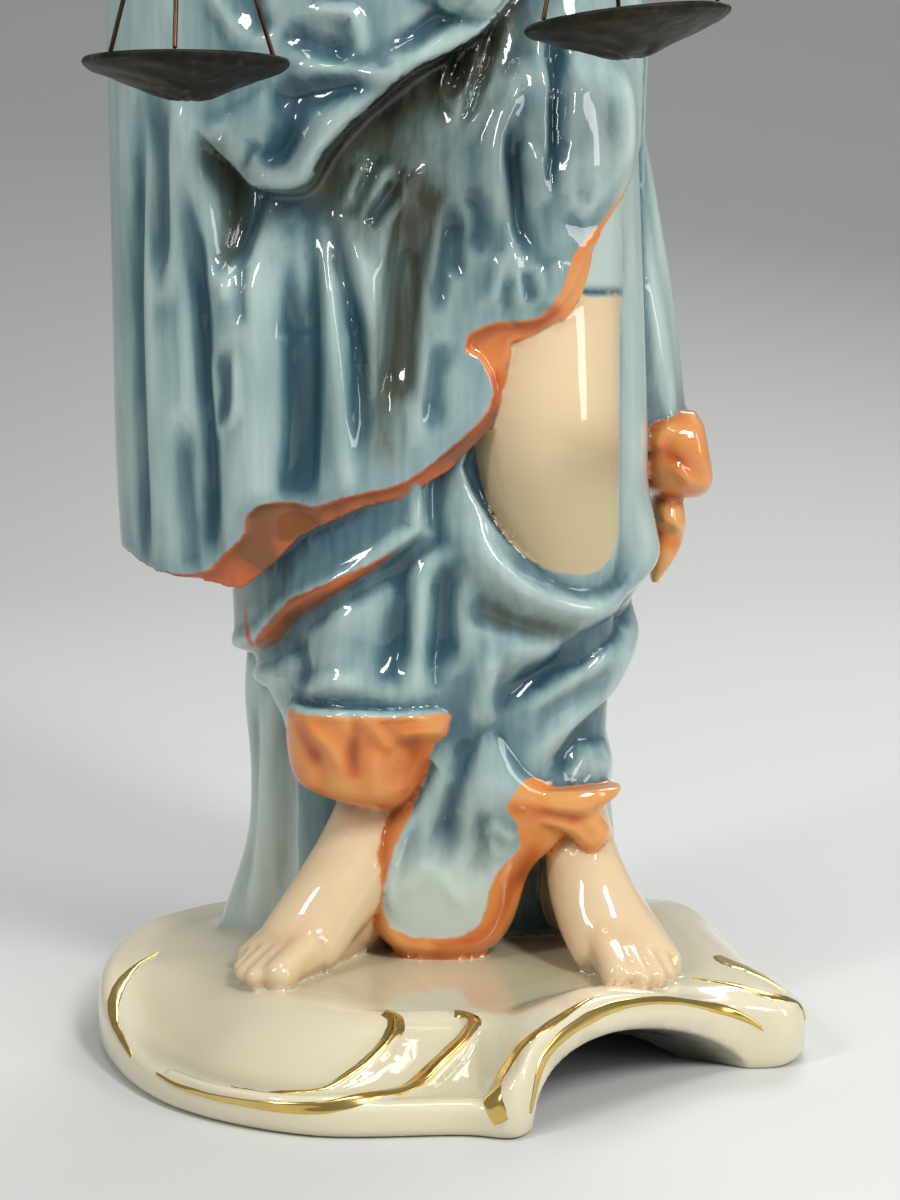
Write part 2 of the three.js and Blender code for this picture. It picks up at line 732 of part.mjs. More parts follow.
function shoulderMantle() {
  const overShoulder = tube(
    [[27, 24, 258], [27, 17, 277], [23, 5.5, 272], [18.5, -1, 250], [14, -3, 226], [10, -6, 206]],
    [9, 9, 7.4, 6, 4.6, 4],
    6,
    7,
  );
  const hipRoll = tube(
    [[14, -12, 205], [0, -12.5, 201], [-16, -12, 205], [-34, -4, 214], [-47, 12, 219]],
    [4.6, 5.6, 6.4, 7, 7],
    6,
    5,
  );
  return [overShoulder, hipRoll];
}

function figureSolid() {
  const underside = baseSolid().subtract(cavitySolid().add(archSolid()));
  const cloth = [
    clothSolid(gown, 30, 9, () => 40, () => 186, [-3, 16, 44], [0, bodyMiddleY, 186]),
    clothSolid(groundFold, 20, 3, () => deckHeight - 2, () => 62, [-4, 26, deckHeight - 2], [-4, 22, 62]),
    clothSolid(mantle, 50, 10, mantleHem, mantleTop, [-6, 14, 112], [0, bodyMiddleY, 204]),
    tongueSolid(),
    tailSolid(),
    ...lowerDrapery(),
    ...shoulderMantle(),
  ];
  const body = [...legSolids(), ...torsoSolids(), ...armSolids(), ...handSolids(), ...headSolids()];
  return joined([underside, ...scrollSolids(), ...cloth, ...body]);
}

const leftPan = { middle: [-39.6, -36, 160.8], tilt: 0 };
const rightPan = { middle: [26.6, -36, 167], tilt: 6 };

// A shallow spun dish, open upwards, with its rim's middle at the origin.
function panGeometry() {
  const profile = [
    [0, -panDepth],
    [5, -panDepth + 0.7],
    [panRadius, 0],
    [panRadius, panWall],
    [4.6, -panDepth + 1.7],
    [0, -panDepth + 1],
  ];
  return new THREE.LatheGeometry(profile.map(([r, z]) => new THREE.Vector2(r, z)), 18);
}

const brass = new THREE.MeshStandardMaterial({ color: 0x6a5436, roughness: 0.42, metalness: 1 });
const darkBrass = new THREE.MeshStandardMaterial({ color: 0x3a3228, roughness: 0.5, metalness: 1 });
const copperWire = new THREE.MeshStandardMaterial({ color: 0x7a5238, roughness: 0.45, metalness: 1 });
const porcelain = new THREE.MeshStandardMaterial({ color: 0x9fbccb, roughness: 0.12, metalness: 0 });

function addMesh(group, name, geometry, material) {
  const mesh = new THREE.Mesh(geometry, material);
  mesh.name = name;
  group.add(mesh);
  return mesh;
}

function addPan(group, side, pan) {
  const hanging = new THREE.Group();
  hanging.position.set(...pan.middle);
  hanging.rotation.y = THREE.MathUtils.degToRad(-pan.tilt);
  const dish = addMesh(hanging, side + "_pan", panGeometry(), darkBrass);
  dish.rotation.x = Math.PI / 2;
  const top = v3(0, 0, wireLength);
  const wires = [-90, 30, 150].map((degrees) => {
    const angle = THREE.MathUtils.degToRad(degrees + (side === "left" ? 0 : 60));
    const reach = panRadius - 0.8;
    const foot = v3(Math.cos(angle) * reach, Math.sin(angle) * reach, panWall + fitGap);
    const middle = foot.clone().lerp(top, 0.5);
    return tube([foot, middle, top].map((p) => p.toArray()), [wireRadius, wireRadius], 4, 1);
  });
  const knot = ball([0, 0, wireLength], [1.1, 1.1, 1.4], [0, 0, 0], 6, 4);
  addMesh(hanging, side + "_pan_wires", toGeometry(joined([...wires, knot])), copperWire);
  group.add(hanging);
}

function hangerTop(pan) {
  const lean = THREE.MathUtils.degToRad(pan.tilt);
  const [x, y, z] = pan.middle;
  return [x - Math.sin(lean) * wireLength, y, z + Math.cos(lean) * wireLength];
}

// The beam's ends sit just above the knots that gather each pan's wires.
const beamEnds = [leftPan, rightPan].map(hangerTop).map(([x, y, z]) => [x, y, z + 1.4 + fitGap + 1.4]);
const beamPivot = [balanceGrip[0], balanceGrip[1] + 1, mix(beamEnds[0][2], beamEnds[1][2], 0.5) + 2.5];

function beamGeometry() {
  const [x, y, z] = beamPivot;
  const arms = beamEnds.map((end) => {
    const bow = [mix(end[0], x, 0.5), mix(end[1], y, 0.5), mix(end[2], z, 0.4) + 1.6];
    return tube([end, bow, beamPivot], [[1.1, 0.8], [1.3, 0.9], [2, 1]], 4, 4);
  });
  const bosses = beamEnds.map((end) => ball(end, [1.4, 1.1, 1.4], [0, 0, 0], 6, 4));
  const hub = ball(beamPivot, [2.4, 1.3, 2.4], [0, 0, 0], 6, 4);
  return toGeometry(joined([...arms, ...bosses, hub]));
}

// The ring hangs on her forefinger, and its fork straddles the hub of the beam.
function hangerGeometry() {
  const ringMiddle = balanceGrip[2] + 0.4 + 1.5 + fitGap - ringRadius + ringWire;
  const [x, y, z] = beamPivot;
  const ring = new THREE.TorusGeometry(ringRadius, ringWire, 4, 12).rotateX(Math.PI / 2);
  const placed = toSolid(ring.translate(balanceGrip[0], balanceGrip[1], ringMiddle));
  const neck = ringMiddle - ringRadius;
  const prongs = [-1, 1].map((side) => {
    const line = [[x, balanceGrip[1], neck], [x, y + side * 2.3, neck - 3.5], [x, y + side * 2.4, z]];
    return tube(line, [0.8, 0.7, 0.9], 4, 3);
  });
  return toGeometry(joined([placed, ...prongs]));
}

const figurine = new THREE.Group();
addMesh(figurine, "porcelain_figure", toGeometry(figureSolid()), porcelain);
addMesh(figurine, "balance_hanger", hangerGeometry(), brass);
addMesh(figurine, "balance_beam", beamGeometry(), brass);
addPan(figurine, "left", leftPan);
addPan(figurine, "right", rightPan);

export default figurine;
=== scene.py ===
import math

import bpy
import numpy as np
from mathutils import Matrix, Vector
from mathutils.bvhtree import BVHTree


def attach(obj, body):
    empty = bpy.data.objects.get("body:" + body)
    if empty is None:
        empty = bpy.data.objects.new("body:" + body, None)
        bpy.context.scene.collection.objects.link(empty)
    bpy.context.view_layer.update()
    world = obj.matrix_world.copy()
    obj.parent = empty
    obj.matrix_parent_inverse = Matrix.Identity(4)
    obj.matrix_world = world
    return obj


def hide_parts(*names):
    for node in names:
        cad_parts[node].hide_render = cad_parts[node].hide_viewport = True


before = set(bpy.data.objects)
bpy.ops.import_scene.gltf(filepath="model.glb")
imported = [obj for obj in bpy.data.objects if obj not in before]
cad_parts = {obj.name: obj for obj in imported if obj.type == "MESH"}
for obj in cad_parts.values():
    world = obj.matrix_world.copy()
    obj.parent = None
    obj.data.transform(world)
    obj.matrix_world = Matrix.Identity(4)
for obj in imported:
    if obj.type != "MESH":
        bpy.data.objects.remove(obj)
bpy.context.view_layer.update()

mm = 0.001

# The view of the photograph.
view = {"place": (0.0, -0.4, 0.1253), "pitchDown": 7.125, "lens": 71.28}
cameraData = bpy.data.cameras.new("camera")
cameraData.lens = view["lens"]
cameraData.sensor_width = 36
cameraData.clip_start = 0.01
camera = bpy.data.objects.new("camera", cameraData)
camera.location = view["place"]
camera.rotation_euler = (math.radians(90 - view["pitchDown"]), 0, 0)
bpy.context.scene.collection.objects.link(camera)
bpy.context.scene.camera = camera
bpy.context.scene.view_settings.view_transform = "Standard"


def deselectAll():
    bpy.ops.object.select_all(action="DESELECT")


def makeActive(piece):
    deselectAll()
    piece.select_set(True)
    bpy.context.view_layer.objects.active = piece


def blend01(value, low, high):
    t = np.clip((value - low) / (high - low), 0, 1)
    return t * t * (3 - 2 * t)


def withCaps(v, caps):  # how far along the body, 0 to 1, and how far its closed ends have opened
    along = np.clip((v - caps) / (1 - 2 * caps), 0, 1)
    opened = np.clip(v / caps, 0, 1) * np.clip((1 - v) / caps, 0, 1)
    return along, opened


def rowReader(rows, soften=4.0):  # rows of [height, value, value, ...], read softly at any height
    table = np.array(rows, float)
    heights = np.arange(table[0, 0] - 20, table[-1, 0] + 20.5, 0.5)
    kernel = np.exp(-0.5 * (np.arange(-40, 41) * 0.5 / soften) ** 2)
    kernel /= kernel.sum()
    columns = []
    for k in range(1, table.shape[1]):
        values = np.interp(heights, table[:, 0], table[:, k])
        columns.append(np.convolve(np.pad(values, 40, mode="edge"), kernel, "valid"))
    return lambda z: [np.interp(z, heights, column) for column in columns]


def curveThrough(points, count, closed=False):  # an evenly spaced smooth curve through a few points
    p = np.array(points, float)
    ends = [p[-1:], p, p[:2]] if closed else [2 * p[:1] - p[1:2], p, 2 * p[-1:] - p[-2:-1]]
    p = np.vstack(ends)
    dense = []
    for i in range(1, len(p) - 2):
        gaps = np.maximum(np.linalg.norm(np.diff(p[i - 1:i + 3], axis=0), axis=1) ** 0.5, 1e-6)
        t0, t1, t2, t3 = 0, gaps[0], gaps[0] + gaps[1], gaps.sum()
        t = np.linspace(t1, t2, 24, endpoint=False)[:, None]
        a1 = (t1 - t) / (t1 - t0) * p[i - 1] + (t - t0) / (t1 - t0) * p[i]
        a2 = (t2 - t) / (t2 - t1) * p[i] + (t - t1) / (t2 - t1) * p[i + 1]
        a3 = (t3 - t) / (t3 - t2) * p[i + 1] + (t - t2) / (t3 - t2) * p[i + 2]
        b1 = (t2 - t) / (t2 - t0) * a1 + (t - t0) / (t2 - t0) * a2
        b2 = (t3 - t) / (t3 - t1) * a2 + (t - t1) / (t3 - t1) * a3
        dense.append((t2 - t) / (t2 - t1) * b1 + (t - t1) / (t2 - t1) * b2)
    dense.append(p[-2:-1])
    dense = np.vstack(dense)
    run = np.concatenate([[0], np.cumsum(np.linalg.norm(np.diff(dense, axis=0), axis=1))])
    places = np.linspace(0, run[-1], count + 1 if closed else count)
    curve = np.column_stack([np.interp(places, run, dense[:, k]) for k in range(p.shape[1])])
    return curve[:-1] if closed else curve


def nearestOnLine(line, x, z):  # distance to a line, its signed side, and how far along it, 0 to 1
    best = np.full(x.shape, 1e9)
    side = np.zeros(x.shape)
    along = np.zeros(x.shape)
    for i in range(len(line) - 1):
        (ax, az), (bx, bz) = line[i], line[i + 1]
        dx, dz = bx - ax, bz - az
        length2 = max(dx * dx + dz * dz, 1e-9)
        t = np.clip(((x - ax) * dx + (z - az) * dz) / length2, 0, 1)
        ox, oz = x - ax - t * dx, z - az - t * dz
        distance = np.hypot(ox, oz)
        closer = distance < best
        best = np.where(closer, distance, best)
        side = np.where(closer, np.sign(dx * oz - dz * ox), side)
        along = np.where(closer, (i + t) / (len(line) - 1), along)
    return best, side, along


def relief(folds, x, z):  # furrows and ridges: (height, width, line as seen from the front)
    total = np.zeros(x.shape)
    for height, width, points in folds:
        line = curveThrough(points, 8 * len(points))
        reach, length = 3 * width, np.linalg.norm(np.diff(line, axis=0), axis=1).sum()
        low, high = line.min(axis=0) - reach, line.max(axis=0) + reach
        inside = (x > low[0]) & (x < high[0]) & (z > low[1]) & (z < high[1])
        if not inside.any():
            continue
        distance, _, along = nearestOnLine(line, x[inside], z[inside])
        fade = blend01(np.minimum(along, 1 - along), 0, 0.3) if length > 6 * width else 1
        total[inside] += height * fade * np.exp(-(distance / width) ** 2)
    return total


def insidePolygon(polygon, x, z):  # signed distance in millimetres, positive inside
    loop = list(polygon) + [polygon[0]]
    distance, _, _ = nearestOnLine(loop, x, z)
    odd = np.zeros(x.shape, bool)
    for (ax, az), (bx, bz) in zip(loop[:-1], loop[1:]):
        if az == bz:
            continue
        crosses = ((az > z) != (bz > z)) & (x < (bx - ax) * (z - az) / (bz - az) + ax)
        odd ^= crosses
    return np.where(odd, distance, -distance)


def gridSolid(name, columns, rows, place):  # a grid rolled into a closed skin by place(u, v)
    deselectAll()
    bpy.ops.mesh.primitive_grid_add(x_subdivisions=columns, y_subdivisions=rows, size=1)
    piece = bpy.context.object
    piece.name = name
    flat = np.empty(len(piece.data.vertices) * 3)
    piece.data.vertices.foreach_get("co", flat)
    u, v = flat[0::3] + 0.5, flat[1::3] + 0.5
    x, y, z = place(u, v)
    piece.data.vertices.foreach_set("co", (np.column_stack([x, y, z]) * mm).ravel())
    bpy.ops.object.mode_set(mode="EDIT")
    bpy.ops.mesh.select_all(action="SELECT")
    bpy.ops.mesh.remove_doubles(threshold=1e-6)
    bpy.ops.mesh.normals_make_consistent(inside=False)
    bpy.ops.object.mode_set(mode="OBJECT")
    return piece


def rollSolid(name, points, radii, up=(0, 0, 1), around=24, along=48, cap=0.8, rib=None):
    line = curveThrough(points, 240)
    share = np.linspace(0, 1, 240)
    tangent = np.gradient(line, axis=0)
    tangent /= np.linalg.norm(tangent, axis=1)[:, None]
    side = np.cross(tangent, np.array(up, float))
    side /= np.linalg.norm(side, axis=1)[:, None]
    lift = np.cross(side, tangent)
    pairs = np.array([r if isinstance(r, (tuple, list)) else (r, r) for r in radii], float)
    stops = np.linspace(0, 1, len(pairs))
    kernel = np.ones(31) / 31
    eased = lambda values: np.convolve(np.pad(values, 15, mode="edge"), kernel, "valid")
    wide, deep = [eased(np.interp(share, stops, pairs[:, k])) for k in (0, 1)]
    capShare = 5.0 / along

    def place(u, v):
        s = np.clip((v - capShare) / (1 - 2 * capShare), 0, 1)
        start, end = np.clip(v / capShare, 0, 1), np.clip((1 - v) / capShare, 0, 1)
        closing = np.sin(np.pi / 2 * start) * np.sin(np.pi / 2 * end)
        read = lambda values: np.interp(s, share, values)
        w, d = read(wide) * closing, read(deep) * closing
        blunt = np.cos(np.pi / 2 * end) * (v > 0.5) - np.cos(np.pi / 2 * start) * (v < 0.5)
        reach = cap * blunt * np.minimum(read(wide), read(deep))
        turn = 2 * np.pi * u
        grow = 1 if rib is None else rib(turn, s)
        out = []
        for k in range(3):
            spot = read(line[:, k]) + read(tangent[:, k]) * reach
            ring = read(side[:, k]) * w * np.cos(turn) + read(lift[:, k]) * d * np.sin(turn)
            out.append(spot + grow * ring)
        return out

    return gridSolid(name, around, along, place)


def ballSolid(name, middle, radii, turn=(0, 0, 0), segments=32):
    deselectAll()
    bpy.ops.mesh.primitive_uv_sphere_add(
        segments=segments, ring_count=segments * 5 // 8, radius=mm,
        location=[c * mm for c in middle], rotation=[math.radians(a) for a in turn], scale=radii)
    piece = bpy.context.object
    piece.name = name
    bpy.ops.object.transform_apply(location=True, rotation=True, scale=True)
    return piece


def sectionSolid(name, rows, columns, steps, power=2.3, folds=(), soften=1.2):
    # rows of [height, left x, right x, front y, back y], closed at both ends
    read = rowReader(rows, soften)
    caps = 2.5 / steps

    def place(u, v):
        turn = 2 * np.pi * u
        s, closing = withCaps(v, caps)
        z = rows[0][0] + (rows[-1][0] - rows[0][0]) * s
        left, right, front, back = read(z)
        sine, cosine = [np.sign(c) * np.abs(c) ** (2 / power) for c in (np.sin(turn), np.cos(turn))]
        x = (left + right) / 2 + (right - left) / 2 * sine * closing
        y = (front + back) / 2 - (back - front) / 2 * cosine * closing
        y = y - closing * blend01(np.cos(turn), 0, 0.4) * relief(folds, x, z)
        return x, y, z

    return gridSolid(name, columns, steps, place)


paintClasses = {}


def painted(kind, *pieces):
    for piece in pieces:
        paintClasses.setdefault(kind, []).append(piece)


squareness = 2.25


def bent(value):
    return np.sign(value) * np.abs(value) ** (2 / squareness)


# The cloth shells round the body: rows of [height, leftmost x, rightmost x, front y, back y].
mantle = {
    "outline": [
        (76, -57, 35, -13, 40), (100, -58, 35, -14, 41), (135, -58, 34.5, -15, 41), (176, -58, 34, -16, 39),
        (200, -56, 30, -14, 35), (214, -53, 28, -12, 32), (230, -49, 30, -6, 30), (250, -41, 34, 0, 28),
        (264, -34, 35, 5, 27), (280, -24, 29, 8, 25)],
    "hem": [
        (-57, 83), (-52, 81), (-47.5, 80), (-36, 78), (-30.5, 82), (-25.5, 87), (-21.5, 89), (-14.5, 92),
        (-8, 93.5), (0, 98), (7, 105), (9, 111), (10, 119), (14.5, 120.5), (17.5, 122), (20.7, 126.4),
        (21.9, 131), (23, 137), (26.8, 142.6), (30.8, 151), (32.8, 166), (34, 178)],
    "top": [
        (-180, 274), (-150, 268), (-125, 246), (-100, 226), (-60, 219), (-25, 205), (0, 201), (45, 199),
        (80, 200), (97, 208), (120, 258), (142, 279), (180, 274)],
    "blue": [
        (-60, 84), (-56, 84), (-52, 81.5), (-50.5, 80.5), (-40.5, 81), (-38, 83.5), (-34, 87.5),
        (-33, 91.5), (-26.5, 93), (-23, 92), (-16.5, 94), (-8, 96), (-1, 101), (5, 106.5), (7, 110),
        (5, 116), (2, 118), (2.5, 120), (8.5, 122.5), (13.5, 122.5), (16.2, 124.8), (18.2, 127.6),
        (19.9, 133), (23.2, 136.9), (27.6, 142.3), (31.8, 150.5), (33.8, 166), (34.5, 190), (40, 230),
        (-70, 230)],
    "pleats": 18, "pleatDepth": 3.6, "tailAngle": 104,
    "folds": [
        (-1.8, 1.3, [(-50.5, 164.5), (-52, 129), (-52, 107.5), (-51.5, 85)]),
        (0.8, 2.2, [(-49, 164.5), (-49.5, 126), (-49, 106), (-48.5, 82.5)]),
        (-2.0, 1.9, [(-48.5, 163), (-47.5, 143.5), (-47.5, 125.5)]),
        (1.0, 1.5, [(-44.5, 156.5), (-45, 143.5), (-46, 127.5), (-47, 122.5)]),
        (-2.8, 1.9, [(-42.5, 150), (-41.5, 134), (-41, 121), (-40.5, 109.5), (-40, 98), (-40, 85.5)]),
        (-1.5, 1.6, [(-43.5, 109.5), (-44, 98), (-43.5, 86.5)]),
        (1.6, 2.2, [(-45, 162.5), (-42, 148.5), (-39.5, 134), (-37.5, 121)]),
        (-3.6, 3.0, [(-38.5, 150.5), (-35.5, 145.5), (-35, 139.5), (-36, 134), (-37.5, 127.5)]),
        (-1.5, 1.7, [(-37, 118.5), (-37, 111), (-38, 103.5)]),
        (0.8, 1.0, [(-39.5, 118.5), (-39, 109.5), (-38.5, 102.5)]),
        (0.8, 1.1, [(-35, 118.5), (-35, 108), (-37.5, 103)]), (0.9, 1.2, [(-36, 132), (-36.5, 126.5)]),
        (-1.0, 1.0, [(-34, 132), (-34, 126), (-33.5, 121)]),
        (1.2, 4.5, [(-32, 141.5), (-31.5, 126), (-32.5, 106.5), (-33, 93.5)]),
        (-2.8, 2.2, [(-26, 135.5), (-25.5, 118), (-25.5, 106.5), (-26, 96)]),
        (-2.2, 1.8, [(-22.5, 141.5), (-22, 126), (-22.5, 109.5), (-23, 97)]),
        (1.2, 1.8, [(-21, 143), (-19.5, 126), (-17.5, 108), (-16.5, 94.5)]),
        (-2.4, 1.8, [(-20.5, 142.5), (-18, 132), (-16.5, 126), (-15, 118), (-14, 106.5), (-13.5, 99)]),
        (1.2, 1.9, [(-17, 138.5), (-14, 130), (-12, 121), (-12.5, 106.5)]),
        (-3.4, 2.0, [(-5.5, 145), (-8, 132), (-9.5, 121), (-10.5, 109.5), (-10.5, 102.5)]),
        (-2.2, 1.5, [(-3.5, 141.5), (-5, 132), (-6.5, 121), (-7.5, 108)]),
        (-1.6, 1.4, [(1, 143.5), (-1, 132), (-2.5, 122.5)]), (-1.2, 1.1, [(1, 141), (1.5, 136), (1, 128)]),
        (2.4, 2.6, [
            (-36, 151.5), (-32.5, 147.5), (-29, 146), (-24.5, 147), (-21, 150.5), (-16, 156), (-8, 162),
            (-1.5, 166.5), (6.5, 173)]),
        (-1.5, 2.8, [(-24.5, 158.5), (-19, 158.5), (-12.5, 158.5)]),
        (-1.2, 2.6, [(-25, 157), (-25.5, 152.5), (-27, 148.5)]),
        (1.6, 1.5, [(-25.5, 161), (-22, 162), (-14, 161.5), (-8.5, 160.5)]),
        (-2.0, 2.0, [(-27, 169), (-22, 166.5), (-15, 164)]),
        (1.2, 1.3, [(-24, 171), (-19, 171), (-15.5, 170.5), (-14.5, 167.5), (-13.5, 163.5)]),
        (-1.6, 1.8, [(-32, 178), (-31, 171), (-28.5, 167)]),
        (1.1, 1.3, [(-39, 176.5), (-37.5, 173.5), (-35, 169.5), (-32.5, 165)]),
        (-2.4, 1.9, [(-10, 164), (-5, 167.5), (1, 171.5), (6.5, 175.5)]),
        (-0.9, 1.0, [(-33, 146), (-32, 149), (-30.5, 151.5)]),
        (1.8, 1.3, [(-17, 139.5), (-15.5, 144.5), (-13, 149)]),
        (-1.5, 1.4, [(-15.5, 140.5), (-14, 144), (-12, 147.5)]),
        (1.6, 1.5, [(-15.5, 138), (-12.5, 143), (-9, 148.5)]),
        (-2.4, 1.5, [(-14, 137), (-11.5, 140), (-9.5, 142.5), (-7.5, 145.5)]),
        (1.6, 1.3, [(-12, 136.5), (-9.5, 139.5), (-6.5, 145), (-3.5, 149)]),
        (1.6, 1.2, [(-1, 155.5), (-0.5, 161), (3, 166)]), (1.6, 1.2, [(-0.5, 155.5), (2, 159), (5, 166)]),
        (-2.2, 1.2, [(0, 157), (1, 161.5), (3.5, 166)]),
        (1.7, 1.3, [(0, 151.5), (2.5, 158), (5, 165), (8.5, 172.5)]),
        (1.7, 1.3, [(2, 149.5), (4, 154.5), (6.5, 160), (8.5, 165.5), (11.5, 173)]),
        (-1.8, 1.4, [(2, 151.5), (4.5, 158), (7, 164.5), (10, 172.5)]),
        (2.0, 1.9, [(13, 165.5), (10, 159), (8, 154), (7, 149.5), (7, 143.5), (7.5, 136.5)]),
        (-2.8, 1.5, [(10, 155), (10, 151), (10.5, 143.5), (11.5, 136), (13, 131)]),
        (1.2, 1.2, [(12.5, 151.5), (13, 146), (14, 139.5)]),
        (-3.6, 1.6, [(18, 172), (17.5, 164), (16.5, 157), (16, 150), (15.5, 143)]),
        (1.2, 1.2, [(16, 165.5), (15.5, 156), (14.5, 145)]),
        (1.3, 1.3, [(19, 165.5), (18, 156), (17, 150), (17, 143.5), (18.5, 140)]),
        (2.6, 6.5, [(22, 158), (21.5, 148.5)]),
        (-0.7, 1.5, [(17, 140.5), (19.5, 137.5), (22, 139), (24, 142.5)]),
        (0.5, 1.4, [(18.5, 141), (20, 140), (24, 145)]),
        (-0.5, 1.8, [(23, 164), (24, 156.5), (25.5, 149.5)]),
        (1.0, 1.4, [(26.5, 164), (27.5, 156.5), (27, 150), (25.5, 144.5)]),
        (1.1, 1.1, [(9, 135), (10, 129), (10.5, 124)]), (1.1, 1.1, [(5.5, 124), (7, 128), (8, 134)]),
        (1.1, 1.1, [(12.5, 132), (13.5, 127.5), (14, 123.5)]), (1.0, 1.1, [(16, 130.5), (15.5, 125.5)]),
        (-1.0, 1.0, [(9, 128), (9, 123)]), (-1.0, 1.0, [(11.5, 131), (12.5, 125)]),
        (-1.2, 1.6, [(3, 145), (4.5, 139.5), (4, 132)]),
        (-1.2, 1.8, [(-0.5, 120), (-2.5, 113), (-3, 104.5)]),
        (0.8, 1.5, [(-4, 121), (-5, 109.5), (-6, 101)])],
    "lip": [
        (-41, 154.5), (-39.5, 152), (-36, 148), (-33, 144.5), (-29.5, 143.5), (-23.5, 144), (-20.5, 148.5),
        (-18, 151.5), (-12.5, 156.5), (-5.5, 162), (-0.5, 164.5), (5, 168), (10.5, 174), (18, 182),
        (28, 192)],
}

gown = {
    "outline": [
        (40, -29, 28.8, -7.5, 32), (45, -30, 28.6, -8, 32), (52, -33, 27.2, -8, 33),
        (57, -34.6, 26.6, -8, 34), (63, -35, 31.6, -9, 36), (80, -35.6, 33.6, -11, 37),
        (100, -36, 34.5, -9, 36), (125, -34, 33.4, -8, 33), (176, -31, 31, -8, 30), (200, -22, 22, -6, 27)],
    "hem": [
        (-40, 62), (-27.5, 60), (-26, 50), (-3, 50), (-1, 46), (8, 44), (8.7, 42.3), (12.9, 43.3),
        (17.2, 42), (21.9, 41.7), (25.9, 42.3), (28.9, 43.7), (32, 44)],
    "pleats": 18, "pleatDepth": 2,
    "folds": [
        (3.4, 2.9, [
            (1, 98), (3.5, 91.5), (5.5, 85.5), (10, 80), (16.5, 76), (23.5, 75), (29, 77), (33, 83),
            (35, 98)]),
        (-1.6, 2.6, [(5.5, 74.5), (11, 72.5), (18, 70.5)]), (-1.8, 2.2, [(0, 85), (0, 76.5), (-0.5, 64)]),
        (-1.5, 2.0, [(3.5, 54), (2, 46), (-0.5, 37)]), (1.4, 2.0, [(7, 70), (6, 61.5), (5.5, 53)]),
        (-4.0, 2.6, [(36, 81.5), (30, 75.5), (28, 71), (23, 68), (16.5, 64), (10.5, 60.5), (9, 56)]),
        (1.6, 1.5, [(34.5, 78), (29.5, 73), (24, 65.5), (17.5, 61), (12, 56.5)]),
        (-1.6, 1.3, [(35.5, 78), (31.5, 72.5), (29.5, 69.5)]),
        (2.0, 2.4, [(33.5, 73.5), (29, 66.5), (25.5, 59.5), (18.5, 54), (13, 46.5)]),
        (-2.2, 2.3, [(29, 58), (22.5, 51), (17, 45)]), (1.2, 2.2, [(26, 46), (25.5, 44)]),
        (1.5, 2.4, [(-4.5, 83), (-4.5, 70), (-4.5, 58)]),
        (-1.8, 2.2, [(-7.5, 85.5), (-8.5, 75), (-10, 61)]), (2.2, 5.5, [(-17.5, 73.5), (-18, 68)]),
        (-1.6, 2.0, [(-25.5, 67.5), (-24, 64)]), (1.3, 1.8, [(-24, 61), (-18.5, 62.5), (-13, 63.5)]),
        (1.2, 1.8, [(-31, 64), (-31.5, 47.5), (-32.5, 31.5)]),
        (-1.3, 1.5, [(-29.5, 62), (-30, 48), (-30, 34)]),
        (-1.2, 1.4, [(-33.5, 61), (-34.5, 46.5), (-36, 29)]),
        (-2.2, 2.0, [(-1.5, 83), (-2.5, 70), (-2.5, 60)]), (0.5, 1.2, [(20, 44.5), (23.5, 49.5), (25, 51)]),
        (0.4, 1.0, [(25, 51), (26.6, 48), (26, 44.5)])],
    "overfold": [
        (-40, 64), (-34, 65.6), (-31.9, 66.9), (-28.7, 69), (-25.5, 73.2), (-20.7, 76.4), (-15.5, 79.5),
        (-10.7, 82.9), (-4, 88), (-4, 110), (-40, 110)],
    "legOpening": [
        (7, 123), (5, 119), (5.2, 110), (3.5, 103), (2, 98.5), (3.4, 94.8), (4.8, 92.3), (6.8, 89.3),
        (9.1, 86.4), (11.7, 84.2), (16.8, 81.2), (22.1, 80.5), (24.8, 81.1), (26.7, 82.8), (28.2, 87),
        (27.9, 95), (28.2, 110), (28.6, 128), (20, 129), (14, 127)],
}


def gownExtra(x, z):  # the overfold's raised hem, and the gown kept in front of the leg below its opening
    over = insidePolygon(gown["overfold"], x, z)
    step = 2.6 * blend01(over, -0.7, 0.9)
    ridge = 0.7 * np.exp(-((over - 1.6) / 1.4) ** 2)
    groove = 1.1 * np.exp(-((over + 2.2) / 1.8) ** 2)
    opening = insidePolygon(gown["legOpening"], x, z)
    sunk = -3.4 * blend01(opening, -0.2, 0.7)
    underOpening = 2.2 * np.exp(-((x - 19) / 11) ** 2 - ((z - 70) / 9) ** 2)
    overCuff = 3.2 * np.exp(-((x + 14) / 10) ** 4 - ((z - 61) / 6) ** 2)
    return (step + ridge - groove) * blend01(z, 58, 64) + sunk + (underOpening + overCuff)


# the gown behind her right foot, down to the ground
trail = {
    "outline": [
        (11, -43.5, 31, 12, 40), (17, -40.5, 30.4, 12, 39), (30, -36.8, 30, 10, 38), (45, -36.4, 28, 9, 38),
        (54, -37.2, 26, 8, 37), (62, -36.8, 25, 8, 36), (74, -35, 24, 9, 34)],
    "pleats": 18, "pleatDepth": 1.6,
    "folds": [
        (-1.4, 1.5, [(-34.5, 62), (-36, 30), (-39, 12)]), (1.2, 2.0, [(-32, 62), (-33.5, 30), (-36, 14)]),
        (-1.2, 1.5, [(-29, 60), (-29, 30), (-30, 14)])],
}


def backPleats(turn, z, shape):
    phase = shape["pleats"] * turn / 2 + 0.35 * np.sin(z / 30)
    wave = 1 - np.abs(np.sin(phase + 0.25 * np.sin(z / 11 + 3 * turn)))
    fine = 0.25 * np.sin(shape["pleats"] * 1.7 * turn + z / 24)
    return -shape["pleatDepth"] * (np.abs(wave) ** 1.5 + 0.3 * fine) * (1 - 0.55 * blend01(z, 90, 215))


